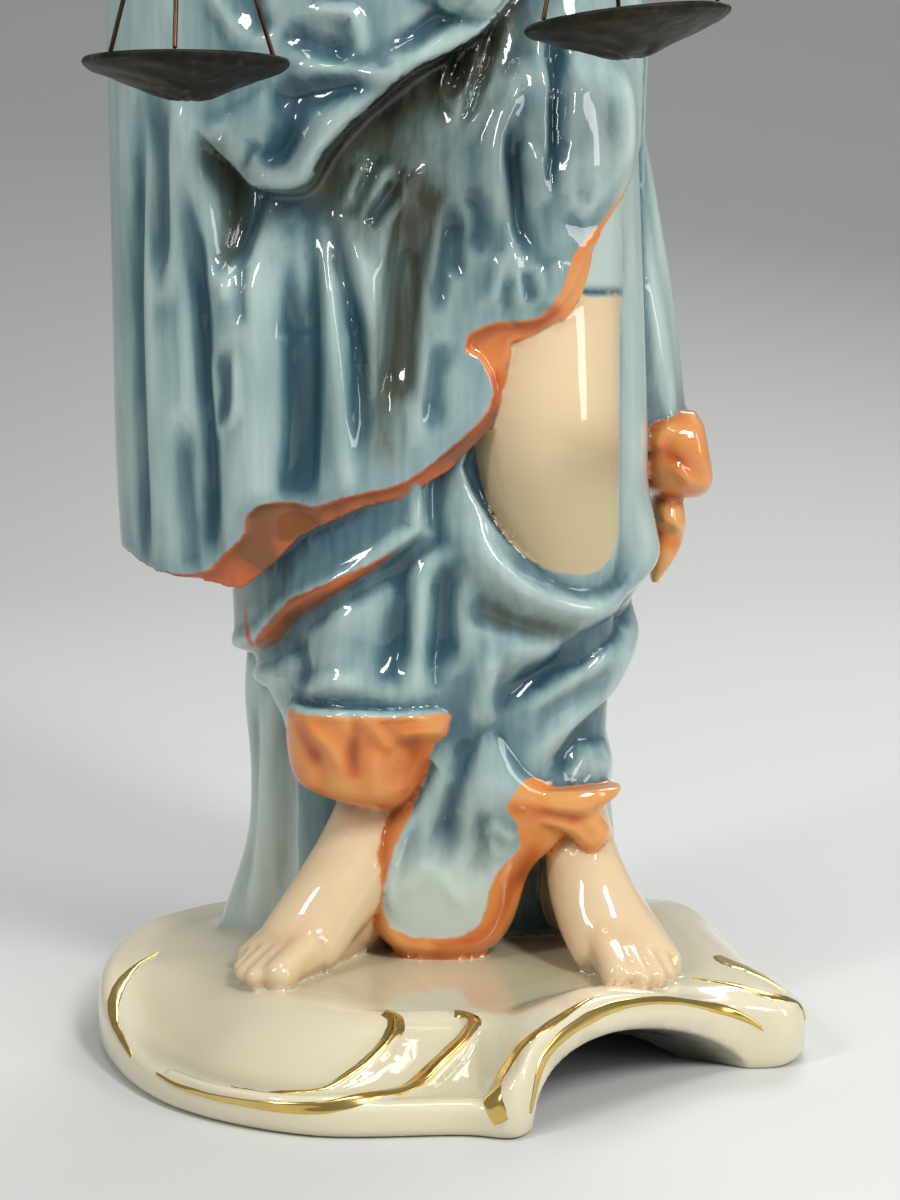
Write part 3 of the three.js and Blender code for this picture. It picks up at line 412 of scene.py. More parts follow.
def clothSolid(name, shape, columns, rows, hemOf, topOf, hollow, crown, extra=None):
    read = rowReader(shape["outline"])
    caps = 2.0 / rows

    def place(u, v):
        turn = 2 * np.pi * u
        turn = turn - 0.34 * np.sin(turn)
        signed = np.where(turn > np.pi, turn - 2 * np.pi, turn)
        low, high = hemOf(signed), topOf(signed)
        s = np.clip((v - caps) / (1 - 2 * caps), 0, 1)
        z = low + (high - low) * s ** 1.1
        left, right, front, back = read(z)
        halfWidth, halfDepth = (right - left) / 2, (back - front) / 2
        x = (left + right) / 2 + halfWidth * bent(np.sin(turn))
        y = (front + back) / 2 - halfDepth * bent(np.cos(turn))
        facing = blend01(np.cos(turn), -0.25, 0.15)
        ahead = relief(shape["folds"], x, z)
        if extra:
            ahead = ahead + extra(x, z)
        out = facing * ahead + (1 - facing) * backPleats(turn, z, shape)
        nx, ny = np.sin(turn) / halfWidth, -np.cos(turn) / halfDepth
        size = np.hypot(nx, ny)
        x, y = x + nx / size * out, y + ny / size * out
        for middle, closing in ((hollow, np.clip(v / caps, 0, 1)), (crown, np.clip((1 - v) / caps, 0, 1))):
            x, y, z = [c * closing + m * (1 - closing) for c, m in zip((x, y, z), middle)]
        return x, y, z

    return gridSolid(name, columns, rows, place)


mantle["blue"] = curveThrough(mantle["blue"], 160, closed=True)
for _, _, points in mantle["folds"]:  # the folds that reach the hem run on past it
    if points[-1][1] < 98.5 and points[-1][0] < -10:
        points.append((points[-1][0], points[-1][1] - 13))
mantleRead = rowReader(mantle["outline"])


def mantleHem(turn):
    left, right, _, _ = mantleRead(np.full(turn.shape, 110.0))
    x = (left + right) / 2 + (right - left) / 2 * bent(np.sin(turn))
    hem = np.array(mantle["hem"])
    front = np.interp(x, hem[:, 0], hem[:, 1])
    tailTurn = math.radians(mantle["tailAngle"])
    toTail = 178 + (104 - 178) * blend01(turn, np.pi / 2, tailTurn)
    behind = np.where(turn > 0, (np.pi - turn) / (np.pi - tailTurn), 0)
    back = 83 + 21 * blend01(behind, 0.3, 1) + 2.0 * np.sin(5 * (np.abs(turn) - np.pi / 2))
    return np.where(np.abs(turn) <= np.pi / 2, front, np.where((turn > 0) & (turn < tailTurn), toTail, back))


def gownHem(turn):  # high over her right shin, low between the feet
    left, right = -31, 28
    x = (left + right) / 2 + (right - left) / 2 * bent(np.sin(turn))
    hem = np.array(gown["hem"])
    front = np.interp(x, hem[:, 0], hem[:, 1])
    back = 42 + 20 * blend01(-np.sin(turn), 0.6, 1) + 2 * blend01(np.sin(turn), 0.6, 1)
    return np.where(np.cos(turn) > 0, front, back)


def mantleTop(turn):
    top = np.array(mantle["top"])
    return np.interp(np.degrees(turn), top[:, 0], top[:, 1])


lipLine = curveThrough(mantle["lip"], 90)
thigh = {"x": 19, "z": 136, "width": 12, "height": 26, "rise": 4.2}


def mantleExtra(x, z):  # the hanging swag over the deep dark hollow, the thigh, and the turned-back hem
    distance, side, along = nearestOnLine(lipLine, x, z)
    ends = blend01(np.minimum(along, 1 - along), 0, 0.08)
    below = side < 0
    drop = -6.2 * np.exp(-(distance / 9.5) ** 1.6) * np.where(z > 120, 1, 0)
    rise = 2.2 * np.exp(-distance / 6)
    edge = blend01(distance, 0, 0.7)
    step = np.where(below, drop * edge + rise * (1 - edge) * 0.5, rise * (0.5 + 0.5 * edge)) * ends
    step *= blend01(x, -44, -36)
    fromThigh = ((x - thigh["x"]) / thigh["width"]) ** 2 + ((z - thigh["z"]) / thigh["height"]) ** 2
    bulge = thigh["rise"] * np.exp(-fromThigh)
    turned = insidePolygon(mantle["blue"], x, z)
    recess = -1.3 * blend01(-turned, 0.0, 1.0)
    return step + bulge + recess


print("cloth shells")
painted(
    "mantle",
    clothSolid(
        "mantleShell", mantle, 560, 300, mantleHem, mantleTop, (-6, 14, 112), (0, 12, 204), mantleExtra))
gownShell = clothSolid(
    "gownShell", gown, 480, 200, gownHem, lambda t: np.full(t.shape, 186.0), (-3, 16, 44), (0, 12, 186),
    gownExtra)
trailShell = clothSolid(
    "trailShell", trail, 260, 70, lambda t: np.full(t.shape, 11.0), lambda t: np.full(t.shape, 72.0),
    (-4, 26, 11), (-4, 22, 72))
painted("gown", gownShell, trailShell)

# The tongue of cloth between the feet, with its blue middle as seen from the front.
tongue = {
    "rows": [
        (12.4, -7, 3.6, 0, 6), (13.6, -9.6, 6.6, -1.4, 7), (15.5, -11.8, 9, -2.4, 7),
        (19, -13.2, 11, -3.4, 7), (24, -13.6, 12.4, -4.4, 6), (27, -13.5, 13, -4.9, 5),
        (30, -13.1, 14.6, -5.4, 4.6), (32.3, -12.7, 17.3, -5.8, 4), (35, -12, 20, -6.2, 4),
        (38, -10, 21, -7.2, 4), (42, -6.8, 20, -8.6, 4), (46, -4.6, 14, -9.4, 4), (52, -4.5, 11, -8.8, 4),
        (58, -3, 9.6, -7.2, 4), (63, -1, 8, -5, 4)],
    "blue": [
        (-4.3, 46), (-5.3, 42.9), (-7.5, 37.7), (-9.8, 32.6), (-11, 27.5), (-11.6, 22.3), (-10.3, 18.9),
        (-6.7, 17.3), (-1.7, 17.2), (2, 17.6), (4.7, 19.2), (6.1, 22.3), (6.6, 25.7), (8, 29.2),
        (10.4, 31.7), (12.1, 34.1), (11.2, 38.3), (9.2, 41.3), (14, 48), (14, 66), (-8, 66), (-8, 48)],
    "folds": [
        (-2.2, 2.2, [(3.5, 60), (2.5, 50), (0, 40), (-1.6, 28)]),
        (-1.0, 1.6, [(5, 42), (5.5, 34), (3.5, 26)]), (0.6, 1.1, [(6, 38.5), (7.5, 33), (8.3, 31)]),
        (0.6, 1.0, [(6, 38.8), (10, 35.6), (11.8, 35)]), (0.5, 1.2, [(-1.8, 29.5), (0.6, 25), (3, 22.5)]),
        (0.4, 1.2, [(-4.3, 30), (-7.3, 26)]), (0.9, 1.1, [(-5.6, 41), (-9, 33), (-10.2, 26), (-9.6, 20)]),
        (1.2, 1.5, [
            (-5, 43), (-9.5, 36), (-12.2, 28), (-12.3, 20), (-8.5, 16), (-1, 15.2), (5.5, 16.4), (9, 21),
            (10.5, 27), (13.2, 31)])],
}
tongueShell = sectionSolid("tongueShell", tongue["rows"], 180, 130, folds=tongue["folds"])
painted("tongue", tongueShell)

print("turned-up edges, rolls and the tail")
cuff = {
    "rows": [
        (40.2, -13, -9.4, -6, 4), (41.2, -18.6, -6.8, -8.4, 6), (42.6, -23, -5.2, -9.6, 8),
        (44.6, -26.4, -4, -10.6, 8), (48, -27.4, -2.4, -11.4, 8), (52, -27.8, -0.4, -11.9, 8),
        (55, -27.8, 1.6, -12.4, 8), (57.3, -27.6, 2.2, -12.8, 8), (58.4, -26.4, 1, -11.6, 7)],
    "folds": [
        (-0.8, 0.9, [(-15.6, 58.4), (-15.8, 55), (-16.2, 50), (-16, 46)]),
        (0.9, 1.2, [(-26, 57.4), (-22.6, 54.2), (-20.4, 52.4), (-18, 47)]),
        (0.8, 1.1, [(-14.4, 57.4), (-12, 54.6), (-10.6, 52.6)]),
        (-1.1, 1.7, [(-7, 55), (-7.4, 49), (-9.4, 44)]),
        (1.0, 1.2, [(-7.2, 54.2), (-4.4, 54.6), (-1.4, 54)]), (-0.9, 1.5, [(-22, 50), (-21, 45)]),
        (0.6, 1.4, [(-12.6, 50), (-12.4, 44)]), (0.8, 0.7, [(-26.6, 57.2), (-20, 57.4), (-16.6, 56.9)]),
        (0.8, 0.7, [(-14.6, 57), (-8, 57.4), (-2, 56.6)])],
}
shinHem = {
    "rows": [
        (32.4, 22.6, 25.4, -3.4, 4), (34, 21, 27, -4.8, 5), (36, 19, 27.8, -5.5, 5),
        (37.6, 12, 26.6, -6.6, 5), (39, 9.5, 25.6, -7.4, 5), (40.6, 8.6, 26.4, -7.8, 5),
        (42, 8.4, 29, -7.4, 5), (43.6, 8.4, 29.4, -6.4, 5)],
    "folds": [(-1.1, 1.1, [(11, 41), (16, 39.8), (20, 39), (26, 38.5)]), (-0.8, 1.2, [(21, 38), (24, 36)])],
}
lobes = {
    "upper": [
        (91, 37, 44.4, 20, 28), (92.2, 34.6, 46.6, 15.5, 31), (95, 33.6, 46.8, 13.8, 32),
        (98, 33.4, 46.2, 13.2, 32), (101, 33.4, 45.6, 13.2, 32), (104, 33.8, 45, 14.2, 31),
        (106.4, 37, 43.4, 18, 28)],
    "lower": [
        (75.6, 36, 37.2, 22, 25), (79, 35.6, 39.6, 19.6, 26.5), (82, 35.6, 41.4, 18.6, 28),
        (86, 35.6, 42.2, 18, 29), (89.5, 35.8, 41.8, 17.4, 30), (92, 36, 41, 18, 29)],
    "upperFolds": [
        (-0.5, 1.1, [(37.6, 104), (39, 99), (42.6, 96), (46, 93.6)]),
        (1.2, 1.2, [(40, 104.6), (36.6, 102.6), (35.4, 99)]),
        (1.0, 1.1, [(38, 98), (40.4, 96), (42.6, 93)]), (0.8, 1.4, [(43.6, 104), (44.6, 98)])],
    "lowerFolds": [
        (-0.9, 1.3, [(36, 84.6), (39, 84.4), (41.4, 81.4)]),
        (0.9, 1.0, [(36, 87.4), (39.4, 87), (41.8, 84.6)]), (-1.0, 0.9, [(36.4, 90.6), (41.6, 90.4)])],
}
painted(
    "lining",
    sectionSolid("cuff", cuff["rows"], 180, 90, folds=cuff["folds"], soften=0.6),
    sectionSolid("shinHem", shinHem["rows"], 140, 70, folds=shinHem["folds"], soften=0.6),
    sectionSolid("upperLobe", lobes["upper"], 96, 60, power=2.6, folds=lobes["upperFolds"], soften=0.7),
    sectionSolid("lowerLobe", lobes["lower"], 80, 60, folds=lobes["lowerFolds"], soften=0.7),
)

# the mantle's end on her left: rows of [height, middle x, middle y, half width, half depth]
tail = {
    "rows": [
        (90, 37.5, 25, 5, 7.5), (103, 36, 25, 6.4, 9), (125, 32.5, 25, 7, 10), (154, 27, 24, 7, 10),
        (190, 20, 22, 6, 8)],
    "bottom": 98, "top": 190,
}
tailRows = rowReader(tail["rows"])


def tailPlace(u, v):
    turn = 2 * np.pi * u
    s, closing = withCaps(v, 0.05)
    z = tail["bottom"] + (tail["top"] - tail["bottom"]) * s
    x0, y0, half, deep = tailRows(z)
    grow = 1 + 0.06 * np.sin(5 * turn + z / 20)
    x = x0 + half * bent(np.sin(turn)) * grow * closing
    y = y0 - deep * bent(np.cos(turn)) * grow * closing
    return x, y, z


painted("mantle", gridSolid("tailShell", 80, 80, tailPlace))

print("legs and feet")
leftLeg = rollSolid(
    "leftLeg",
    [(14, 9, 168), (15.4, 3.5, 130), (16, -2.2, 104), (18, 1, 82), (20.5, 10, 48), (22.5, 14, 24)],
    [13, 13.2, 12.8, 10.8, 7, 5.6], up=(0, -1, 0), around=72, along=90)
rightShin = rollSolid(
    "rightShin", [(-7, 13, 62), (-10.5, 9.5, 42), (-12, 11, 24)], [9.5, 7.4, 6.6], up=(0, -1, 0), around=48)
rightInstep = rollSolid(
    "rightInstep", [(-11, 7, 40), (-15, 3, 32), (-20, -2.4, 24.5), (-25.5, -8, 18)],
    [7.6, 7.6, 7.4, (7.2, 4.4)], up=(0, -1, 1), around=48)
leftInstep = rollSolid(
    "leftInstep", [(22.3, 8, 38), (22.8, 3.5, 30), (25, -2, 23), (28, -8, 17.5)],
    [5.2, 6.6, 7.6, (7.6, 4.6)], up=(0, -1, 1), around=48)
painted("skin", leftLeg, rightShin, rightInstep, leftInstep)
underskirt = rollSolid(
    "underskirt", [(14, 10, 168), (15.4, 4.6, 138), (15.6, 2.6, 126)], [13.3, 13.4, 13.4], up=(0, -1, 0),
    around=72, cap=0.05)
painted("under", underskirt)

# rows of [share of the way to the toe line, height of the middle, half width, half height]
foot = {
    "rows": [
        (-0.1, 6.5, 2.4, 3.2), (-0.04, 7, 4.6, 6), (0.12, 10, 6.4, 10), (0.34, 10, 6.8, 10),
        (0.56, 8, 7, 8), (0.8, 5, 7.8, 5.2), (0.98, 3.1, 7.8, 3)],
    "toes": [
        (-5.4, 1.08, 2.9, 2.5), (-1.9, 1.13, 1.9, 2.0), (1.1, 1.11, 1.75, 1.9), (3.8, 1.05, 1.65, 1.8),
        (6.2, 0.96, 1.6, 1.7)],
    "ground": 12.4, "toeGround": 12.6,
}


def footSolid(name, heel, toeLine, outward):
    heel, toeLine = np.array(heel, float), np.array(toeLine, float)
    flat = toeLine - heel
    length = np.linalg.norm(flat)
    ahead = flat / length
    side = np.array([-ahead[1], ahead[0]])
    rows = np.array(foot["rows"])

    def place(u, v):
        caps = 0.06
        s = np.clip((v - caps) / (1 - 2 * caps), 0, 1)
        share = rows[0, 0] + (rows[-1, 0] - rows[0, 0]) * s
        z, half, tall = [np.interp(share, rows[:, 0], rows[:, k]) for k in (1, 2, 3)]
        heelEnd, toeEnd = np.clip(v / caps, 0, 1), np.clip((1 - v) / caps, 0, 1)
        closing = np.sin(np.pi / 2 * heelEnd) * np.sin(np.pi / 2 * toeEnd)
        turn = 2 * np.pi * u
        across, up = np.cos(turn) * half * closing, np.sin(turn) * tall * closing
        x = heel[0] + ahead[0] * share * length + side[0] * across
        y = heel[1] + ahead[1] * share * length + side[1] * across
        return x, y, foot["ground"] + z + up

    pieces = [gridSolid(name, 64, 80, place)]
    toeGround = foot["toeGround"]
    for k, (across, reach, wide, tall) in enumerate(foot["toes"]):
        root = heel + ahead * length * 0.72 + side * outward * across * 0.82
        tip = heel + ahead * length * reach + side * outward * across
        pieces.append(rollSolid(
            name + "Toe" + str(k),
            [
                (root[0], root[1], toeGround + 6.6), (*(0.45 * root + 0.55 * tip), toeGround + 4.9),
                (tip[0], tip[1], toeGround + tall)],
            [wide * 0.8, wide * 0.92, wide], around=24, along=36, cap=0.9))
    return pieces


painted(
    "skin", *footSolid("rightFoot", (-7, 19), (-30.6, -12.6), -1),
    *footSolid("leftFoot", (21, 19), (32, -14), 1))

print("the base")
base = {
    "marks": [
        (59.8, -13), (56.8, 3), (54, 18), (50.5, 31), (38, 49.5), (0, 55.6), (-37, 51.5), (-56.5, 34),
        (-61, 10), (-58, -15), (-44, -41), (-22, -54), (3, -54), (10, -55.6), (14.5, -50), (29, -36.5),
        (46, -22.5), (56.3, -20.5)],
    "deck": 13, "archRim": 17.4, "archOpening": 13.8, "hollowRoof": 6.4, "lobeRadius": 12,
    "archFoot": (30, -38), "archOutward": (0.689, -0.725), "archAcross": (0.725, 0.689),
}


def fromArch(x, y):  # how far along the arch and how far out of it, from its foot
    ox, oy = x - base["archFoot"][0], y - base["archFoot"][1]
    along = ox * base["archAcross"][0] + oy * base["archAcross"][1]
    out = ox * base["archOutward"][0] + oy * base["archOutward"][1]
    return along, out


def archHeight(along, spread, top):
    near = along < -5
    reach = np.abs((along + 5) / np.where(near, 18.5 + spread, 31 + 1.4 * spread))
    power = np.where(near, 2.3, 1.6)
    return top * np.maximum(1 - np.minimum(reach, 1) ** power, 0) ** (1 / power)


def rimHeight(x, y):
    along, out = fromArch(x, y)
    behind = 5.9 * blend01(y + 0.35 * np.abs(x), -18, 26)
    atRight = 2.4 * blend01(x, 30, 52) * (1 - blend01(y, 0, 30)) * blend01(y, -24, -8)
    plain = 5.6 + behind + atRight
    return np.maximum(plain, archHeight(along, 6.5, base["archRim"]) * blend01(out, -26, -12))


outlineCurve = curveThrough(base["marks"], 720, closed=True)
outlineTurns = np.linspace(0, 1, len(outlineCurve) + 1)
wallRows = np.array([
    (0.0, 0), (0.9, 0), (0.965, 0), (0.985, 0.05), (0.998, 0.2), (1, 0.5), (0.997, 0.8), (0.985, 0.95),
    (0.965, 1)])
wallTop = wallRows[-1, 0]


def outlineAt(u):
    return [np.interp(u, outlineTurns, np.append(outlineCurve[:, k], outlineCurve[0, k])) for k in (0, 1)]


def deckHeight(rim, share):
    trough = 1.1 * np.exp(-((share - 0.87) / 0.06) ** 2) * (1 - blend01(rim, 8, 13))
    return base["deck"] + (rim - base["deck"]) * blend01(share, 0.58, 0.86) - trough


def basePlace(u, v):
    x, y = outlineAt(u)
    rim = rimHeight(x, y)
    wallShare = 0.32
    w = np.clip(v / wallShare, 0, 1) * (len(wallRows) - 1)
    share = np.interp(w, np.arange(len(wallRows)), wallRows[:, 0])
    lobed = blend01(x, 37, 47)  # the right end is a rounded lobe
    edge = rim + (4 - rim) * blend01(x, 46, 54) * blend01(y, -22, -11)

    def lobe(part):  # rounded over from its edge to the deck
        inwards = np.clip((1 - part) * np.hypot(x, y) / base["lobeRadius"], 0, 1)
        return edge + (base["deck"] - edge) * np.sqrt(1 - (1 - inwards) ** 2)

    rim = rim + (lobe(wallTop) - rim) * lobed
    z = rim * np.interp(w, np.arange(len(wallRows)), wallRows[:, 1])
    d = np.clip((v - wallShare) / (1 - wallShare), 0, 1)
    onDeck = v > wallShare
    share = np.where(onDeck, wallTop * (1 - d), share)
    z = np.where(onDeck, deckHeight(rim, share) * blend01(d, 0, 0.03) + rim * (1 - blend01(d, 0, 0.03)), z)
    z = np.where(onDeck, z + (lobe(share) - z) * lobed, z)
    return x * share, y * share, z


baseSolid = gridSolid("baseSolid", 360, 130, basePlace)


def hollowPlace(u, v):
    x, y = outlineAt(u)
    share = np.interp(v, [0, 0.2, 0.7, 0.85, 1], [0, 0.7, 0.7, 0.6, 0])
    z = np.interp(v, [0, 0.2, 0.7, 0.85, 1], [
        -1, -1, base["hollowRoof"] - 2, base["hollowRoof"], base["hollowRoof"]])
    return x * share, y * share, z


def tunnelPlace(u, v):
    opening = base["archOpening"]
    outs, wides, tops = (-24, -6, 3, 14), (0.6, 0.9, 1, 1), (7.5, 10.6, opening, opening)
    s, closing = withCaps(v, 0.04)
    out, wide, top = [np.interp(3 * s, (0, 1, 2, 3), values) for values in (outs, wides, tops)]
    along = np.where(u < 0.75, -23.5 + 51.5 * u / 0.75, 28 - 51.5 * (u - 0.75) / 0.25)
    height = np.where(u < 0.75, archHeight(along, 0, top), -1)
    height = np.where((u <= 0.0) | (u >= 1), -1, height)
    along, height = along * closing, height * closing
    x = base["archFoot"][0] + base["archAcross"][0] * along * wide + base["archOutward"][0] * out
    y = base["archFoot"][1] + base["archAcross"][1] * along * wide + base["archOutward"][1] * out
    return x, y, height


cutters = [gridSolid("hollowCutter", 90, 20, hollowPlace), gridSolid("tunnelCutter", 160, 25, tunnelPlace)]
for cutter in cutters:
    cut = baseSolid.modifiers.new("cut", "BOOLEAN")
    cut.object, cut.operation, cut.solver = cutter, "DIFFERENCE", "EXACT"
    makeActive(baseSolid)
    bpy.ops.object.modifier_apply(modifier="cut")
    bpy.data.objects.remove(cutter)
painted("base", baseSolid)

scrolls = {
    "outer": [
        (0.8, -32), (2.6, -33.1), (3.8, -35.4), (2.8, -37.8), (-0.4, -41), (-5, -45.6), (-12, -51.8),
        (-18.3, -52.8), (-24.8, -52), (-31.2, -49.4), (-37.4, -45.6), (-44, -39)],
    "inner": [
        (-10.3, -32), (-8.9, -34), (-8.8, -37), (-10.6, -40), (-14, -43), (-19.4, -46), (-24.1, -48),
        (-28.6, -48.6), (-33.5, -46.6)],
}


def onDeck(x, y, lift):
    angle = np.arctan2(outlineCurve[:, 1], outlineCurve[:, 0])
    i = int(np.argmin(np.abs(np.angle(np.exp(1j * (angle - math.atan2(y, x)))))))
    edge = outlineCurve[i]
    share = min(math.hypot(x, y) / np.linalg.norm(edge), 0.97)
    return (x, y, float(deckHeight(rimHeight(edge[0], edge[1]), share)) + lift)


painted(
    "base",
    rollSolid(
        "outerScroll", [onDeck(x, y, -0.3) for x, y in scrolls["outer"]],
        [0.7, 1.8, 1.6, 1.3, 1.1, 0.9, 0.7], along=120),
    rollSolid(
        "innerScroll", [onDeck(x, y, -0.3) for x, y in scrolls["inner"]], [0.6, 1.3, 1, 0.8, 0.5], along=100
    ),
)

print("the upper body")
upper = {
    "torso": [
        (202, 20, 15, 10.5), (213, 17.4, 12.8, 10.5), (224, 19, 14, 9.5), (236, 21, 15.6, 8),
        (246, 22.4, 16.6, 7.6), (254, 23.8, 15.8, 9), (262, 26, 13.2, 11.5), (271, 28.5, 10.4, 13.5),
        (277, 23, 8.6, 14), (282, 12, 7.4, 14), (287, 7.4, 6.8, 13)],
    "neckline": 262, "grip": (-6.5, -37, 231), "chin": 293.5,
}
torsoRead = rowReader(upper["torso"], 3)
torsoFoot, torsoTop = upper["torso"][0][0], upper["torso"][-1][0]


def torsoPlace(u, v):
    turn = 2 * np.pi * u
    s, closing = withCaps(v, 0.04)
    z = torsoFoot + (torsoTop - torsoFoot) * s
    half, deep, y0 = torsoRead(z)
    front = blend01(np.cos(turn), 0, 0.6)
    gather = 0.5 * np.sin(26 * turn + 2 * np.sin(z / 9))
    gather = gather * blend01(z, 212, 218) * (1 - blend01(z, 250, upper["neckline"]))
    grow = 1 + gather * 0.05 * (0.4 + front)
    x = half * np.sin(turn) * grow * closing
    y = y0 - deep * np.cos(turn) * grow * closing
    return x, y, z


torso = gridSolid("torso", 220, 130, torsoPlace)
bust = [ballSolid("bust" + str(side), (9 * side, 0.4, 246.5), (10.6, 10.4, 10.4)) for side in (-1, 1)]
painted("bodice", torso, *bust)
painted(
    "belt",
    rollSolid(
        "belt", [(-18, 9, 215), (-12.5, -0.5, 214.6), (0, -3.6, 214), (12.5, -0.5, 214.6), (18, 9, 215)],
        [(1.6, 1.6), (1.9, 2.3), (1.9, 2.3), (1.9, 2.3), (1.6, 1.6)], along=80))
painted(
    "skin",
    rollSolid(
        "neck", [(0, 13.5, 276), (0, 11.5, 290), (-0.5, 9.5, 302)], [8.4, 6.4, 6.8], up=(0, -1, 0),
        around=48))
gx, gy, gz = upper["grip"]
arms = {
    "rightUpper": ([(-30, 14, 270), (-38, 16, 246), (-44, 18, 219)], [8.4, 7.4, 6.6]),
    "leftUpper": ([(30, 14, 270), (38, 17, 246), (43.5, 20, 219)], [8.4, 7.4, 6.6]),
    "rightFore": ([(-44.5, 18, 218), (-30, -2, 225), (-17, -22, 231)], [6.4, 5.8, 3.7]),
    "leftFore": ([(44, 20, 218), (35, 2, 210), (23, -13, 202)], [6.4, 5.8, 3.7]),
    "forefinger": ([
        (gx - 6, gy + 5.5, gz + 2.6), (gx, gy, gz + 0.4), (gx + 3, gy - 4.4, gz + 2.4)], [1.9, 1.5, 1.1]),
    "thumb": ([
        (gx - 10.5, gy + 7.6, gz + 3.4), (gx - 7, gy + 3, gz + 5), (gx - 3.4, gy + 2.6, gz + 4.4)
    ], [2, 1.8, 1.2]),
}
for name, (points, radii) in arms.items():
    armUp = (0, -1, 0) if "Upper" in name else (0.2, 0.1, 1)
    painted("skin", rollSolid(name, points, radii, up=armUp))
for k in range(3):
    painted(
        "skin",
        rollSolid(
            "curled" + str(k),
            [
                (gx - 7.2, gy + 5.6 + 0.5 * k, gz + 0.4 - 2.3 * k),
                (gx - 3.4, gy + 3.4 + 0.8 * k, gz - 0.6 - 2.3 * k),
                (gx - 2.6, gy + 7 + 0.6 * k, gz - 1 - 2.2 * k)],
            [1.7, 1.6, 1.3], along=24))
for k in range(4):
    painted(
        "skin",
        rollSolid(
            "leftFinger" + str(k),
            [
                (18.5, -17.4, 199.5 - 1.5 * k), (11.5 + 0.8 * k, -20.2, 200.2 - 2.5 * k),
                (6.6 + 1.1 * k, -18.8, 197.2 - 2.5 * k), (6.4 + 1.4 * k, -14, 195 - 2.3 * k)],
            [1.8, 1.6, 1.3], along=30))
painted(
    "skin", ballSolid("rightPalm", (gx - 7.5, gy + 9, gz + 0.2), (4, 7.6, 4.8), (0, 0, 35)),
    ballSolid("leftPalm", (14, -16.6, 196.2), (7.8, 4.9, 6.4), (0, 25, 25)))


def clothRib(count, depth, lean=0.0):  # pleats along a roll, as a factor on its thickness
    def rib(turn, s):
        coarse = depth * np.sin(count * turn + lean * s)
        return 1 + coarse + 0.4 * depth * np.sin(2.3 * count * turn + 1.3 - lean * s)
    return rib


for side in (-1, 1):
    sleeveLine = [(25 * side, 13.5, 276), (33 * side, 14.5, 265), (38.5 * side, 16.5, 247)]
    painted(
        "bodice",
        rollSolid(
            "sleeve" + str(side), sleeveLine, [8, 10.4, 9.8], up=(0, -1, 0), around=90,
            rib=clothRib(7, 0.045, 5), cap=0.35))
painted(
    "mantle",
    rollSolid(
        "overForearm", [(-47, 22, 214), (-44, 12, 222), (-33, -3, 227), (-25, -13, 229.5)],
        [8, 9.2, 8.4, 7.2], around=90, along=80, rib=clothRib(6, 0.05, 6), cap=0.5),
    rollSolid(
        "overShoulder",
        [(27, 24, 258), (27, 17, 277), (23, 5.5, 272), (18.5, -1, 250), (14, -3, 226), (10, -6, 206)],
        [9, 9, 7.4, 6, 4.6, 4], up=(1, 0, 0), around=90, along=120, rib=clothRib(5, 0.07, 4)),
    rollSolid(
        "hipRoll", [(14, -12, 205), (0, -12.5, 201), (-16, -12, 205), (-34, -4, 214), (-47, 12, 219)],
        [4.6, 5.6, 6.4, 7, 7], around=90, along=120, rib=clothRib(4, 0.08, 9)),
    rollSolid(
        "gathered", [(12, -12, 210), (12, -15, 199), (9, -14, 188), (2, -13, 176)], [5, 4.2, 6, 8],
        up=(0, -1, 0), around=80, along=80, rib=clothRib(7, 0.07, 3)),
)

print("the head")
eyes = upper["chin"] + 20.5
face = [
    ballSolid("skull", (-0.5, 8.6, eyes + 3), (13, 15.6, 16), segments=48),
    ballSolid("faceForm", (-0.5, 3.4, eyes - 6.5), (10.4, 10.8, 14), (8, 0, 0), segments=48),
    ballSolid("chinForm", (-0.5, -1.6, eyes - 17.2), (4.2, 3.6, 3.2)),
    rollSolid(
        "nose", [(-0.5, -6.2, eyes + 1), (-0.5, -9, eyes - 5.6), (-0.5, -7.8, eyes - 7.4)],
        [(1.2, 1.4), (1.7, 1.9), (1.5, 1.3)], up=(0, -1, 0), along=30),
    ballSolid("nostrilLeft", (-2, -7.1, eyes - 6.9), (1.0, 1.3, 0.9)),
    ballSolid("nostrilRight", (1, -7.1, eyes - 6.9), (1.0, 1.3, 0.9)),
    ballSolid("cheekLeft", (-6, -3.0, eyes - 8), (4, 3.4, 4.6)),
    ballSolid("cheekRight", (5, -3.0, eyes - 8), (4, 3.4, 4.6)),
]
painted("skin", *face)
painted(
    "lips",
    rollSolid(
        "upperLip",
        [
            (-3.6, -5.9, eyes - 11.5), (-1.4, -7.3, eyes - 10.9), (-0.5, -7.3, eyes - 11.2),
            (0.4, -7.3, eyes - 10.9), (2.6, -5.9, eyes - 11.5)],
        [0.3, 0.8, 0.75, 0.8, 0.3], along=40),
    rollSolid(
        "lowerLip", [(-3, -6.0, eyes - 12), (-0.5, -7.1, eyes - 12.5), (2, -6.0, eyes - 12)],
        [0.4, 1.0, 0.4], along=40),
)


def aroundHead(a):
    return -0.5 + 12.9 * math.sin(a), 8.6 - 15.4 * math.cos(a), eyes + 0.5 + 0.8 * math.cos(a)


def bandRib(turn, s):
    return 1 + 0.05 * np.sin(3 * turn + 20 * s) * np.abs(np.cos(turn))


bandPoints = [aroundHead(a) for a in np.linspace(math.pi, 3 * math.pi, 17)]
blindfold = rollSolid("blindfold", bandPoints, [(1.9, 5.4)] * 3, around=60, along=160, cap=0.1, rib=bandRib)
painted("band", blindfold)
for side in (-1, 1):
    painted(
        "band",
        rollSolid(
            "bandTail" + str(side),
            [
                (side * 2, 24, eyes + 1), (side * 7, 25.5, eyes - 11), (side * 7.5, 23.5, eyes - 24),
                (side * 9, 23.5, eyes - 35)],
            [(2.6, 1.4), (3.2, 1.4), (3.6, 1.5), (4, 1.6)], up=(0, -1, 0), around=48, along=60))


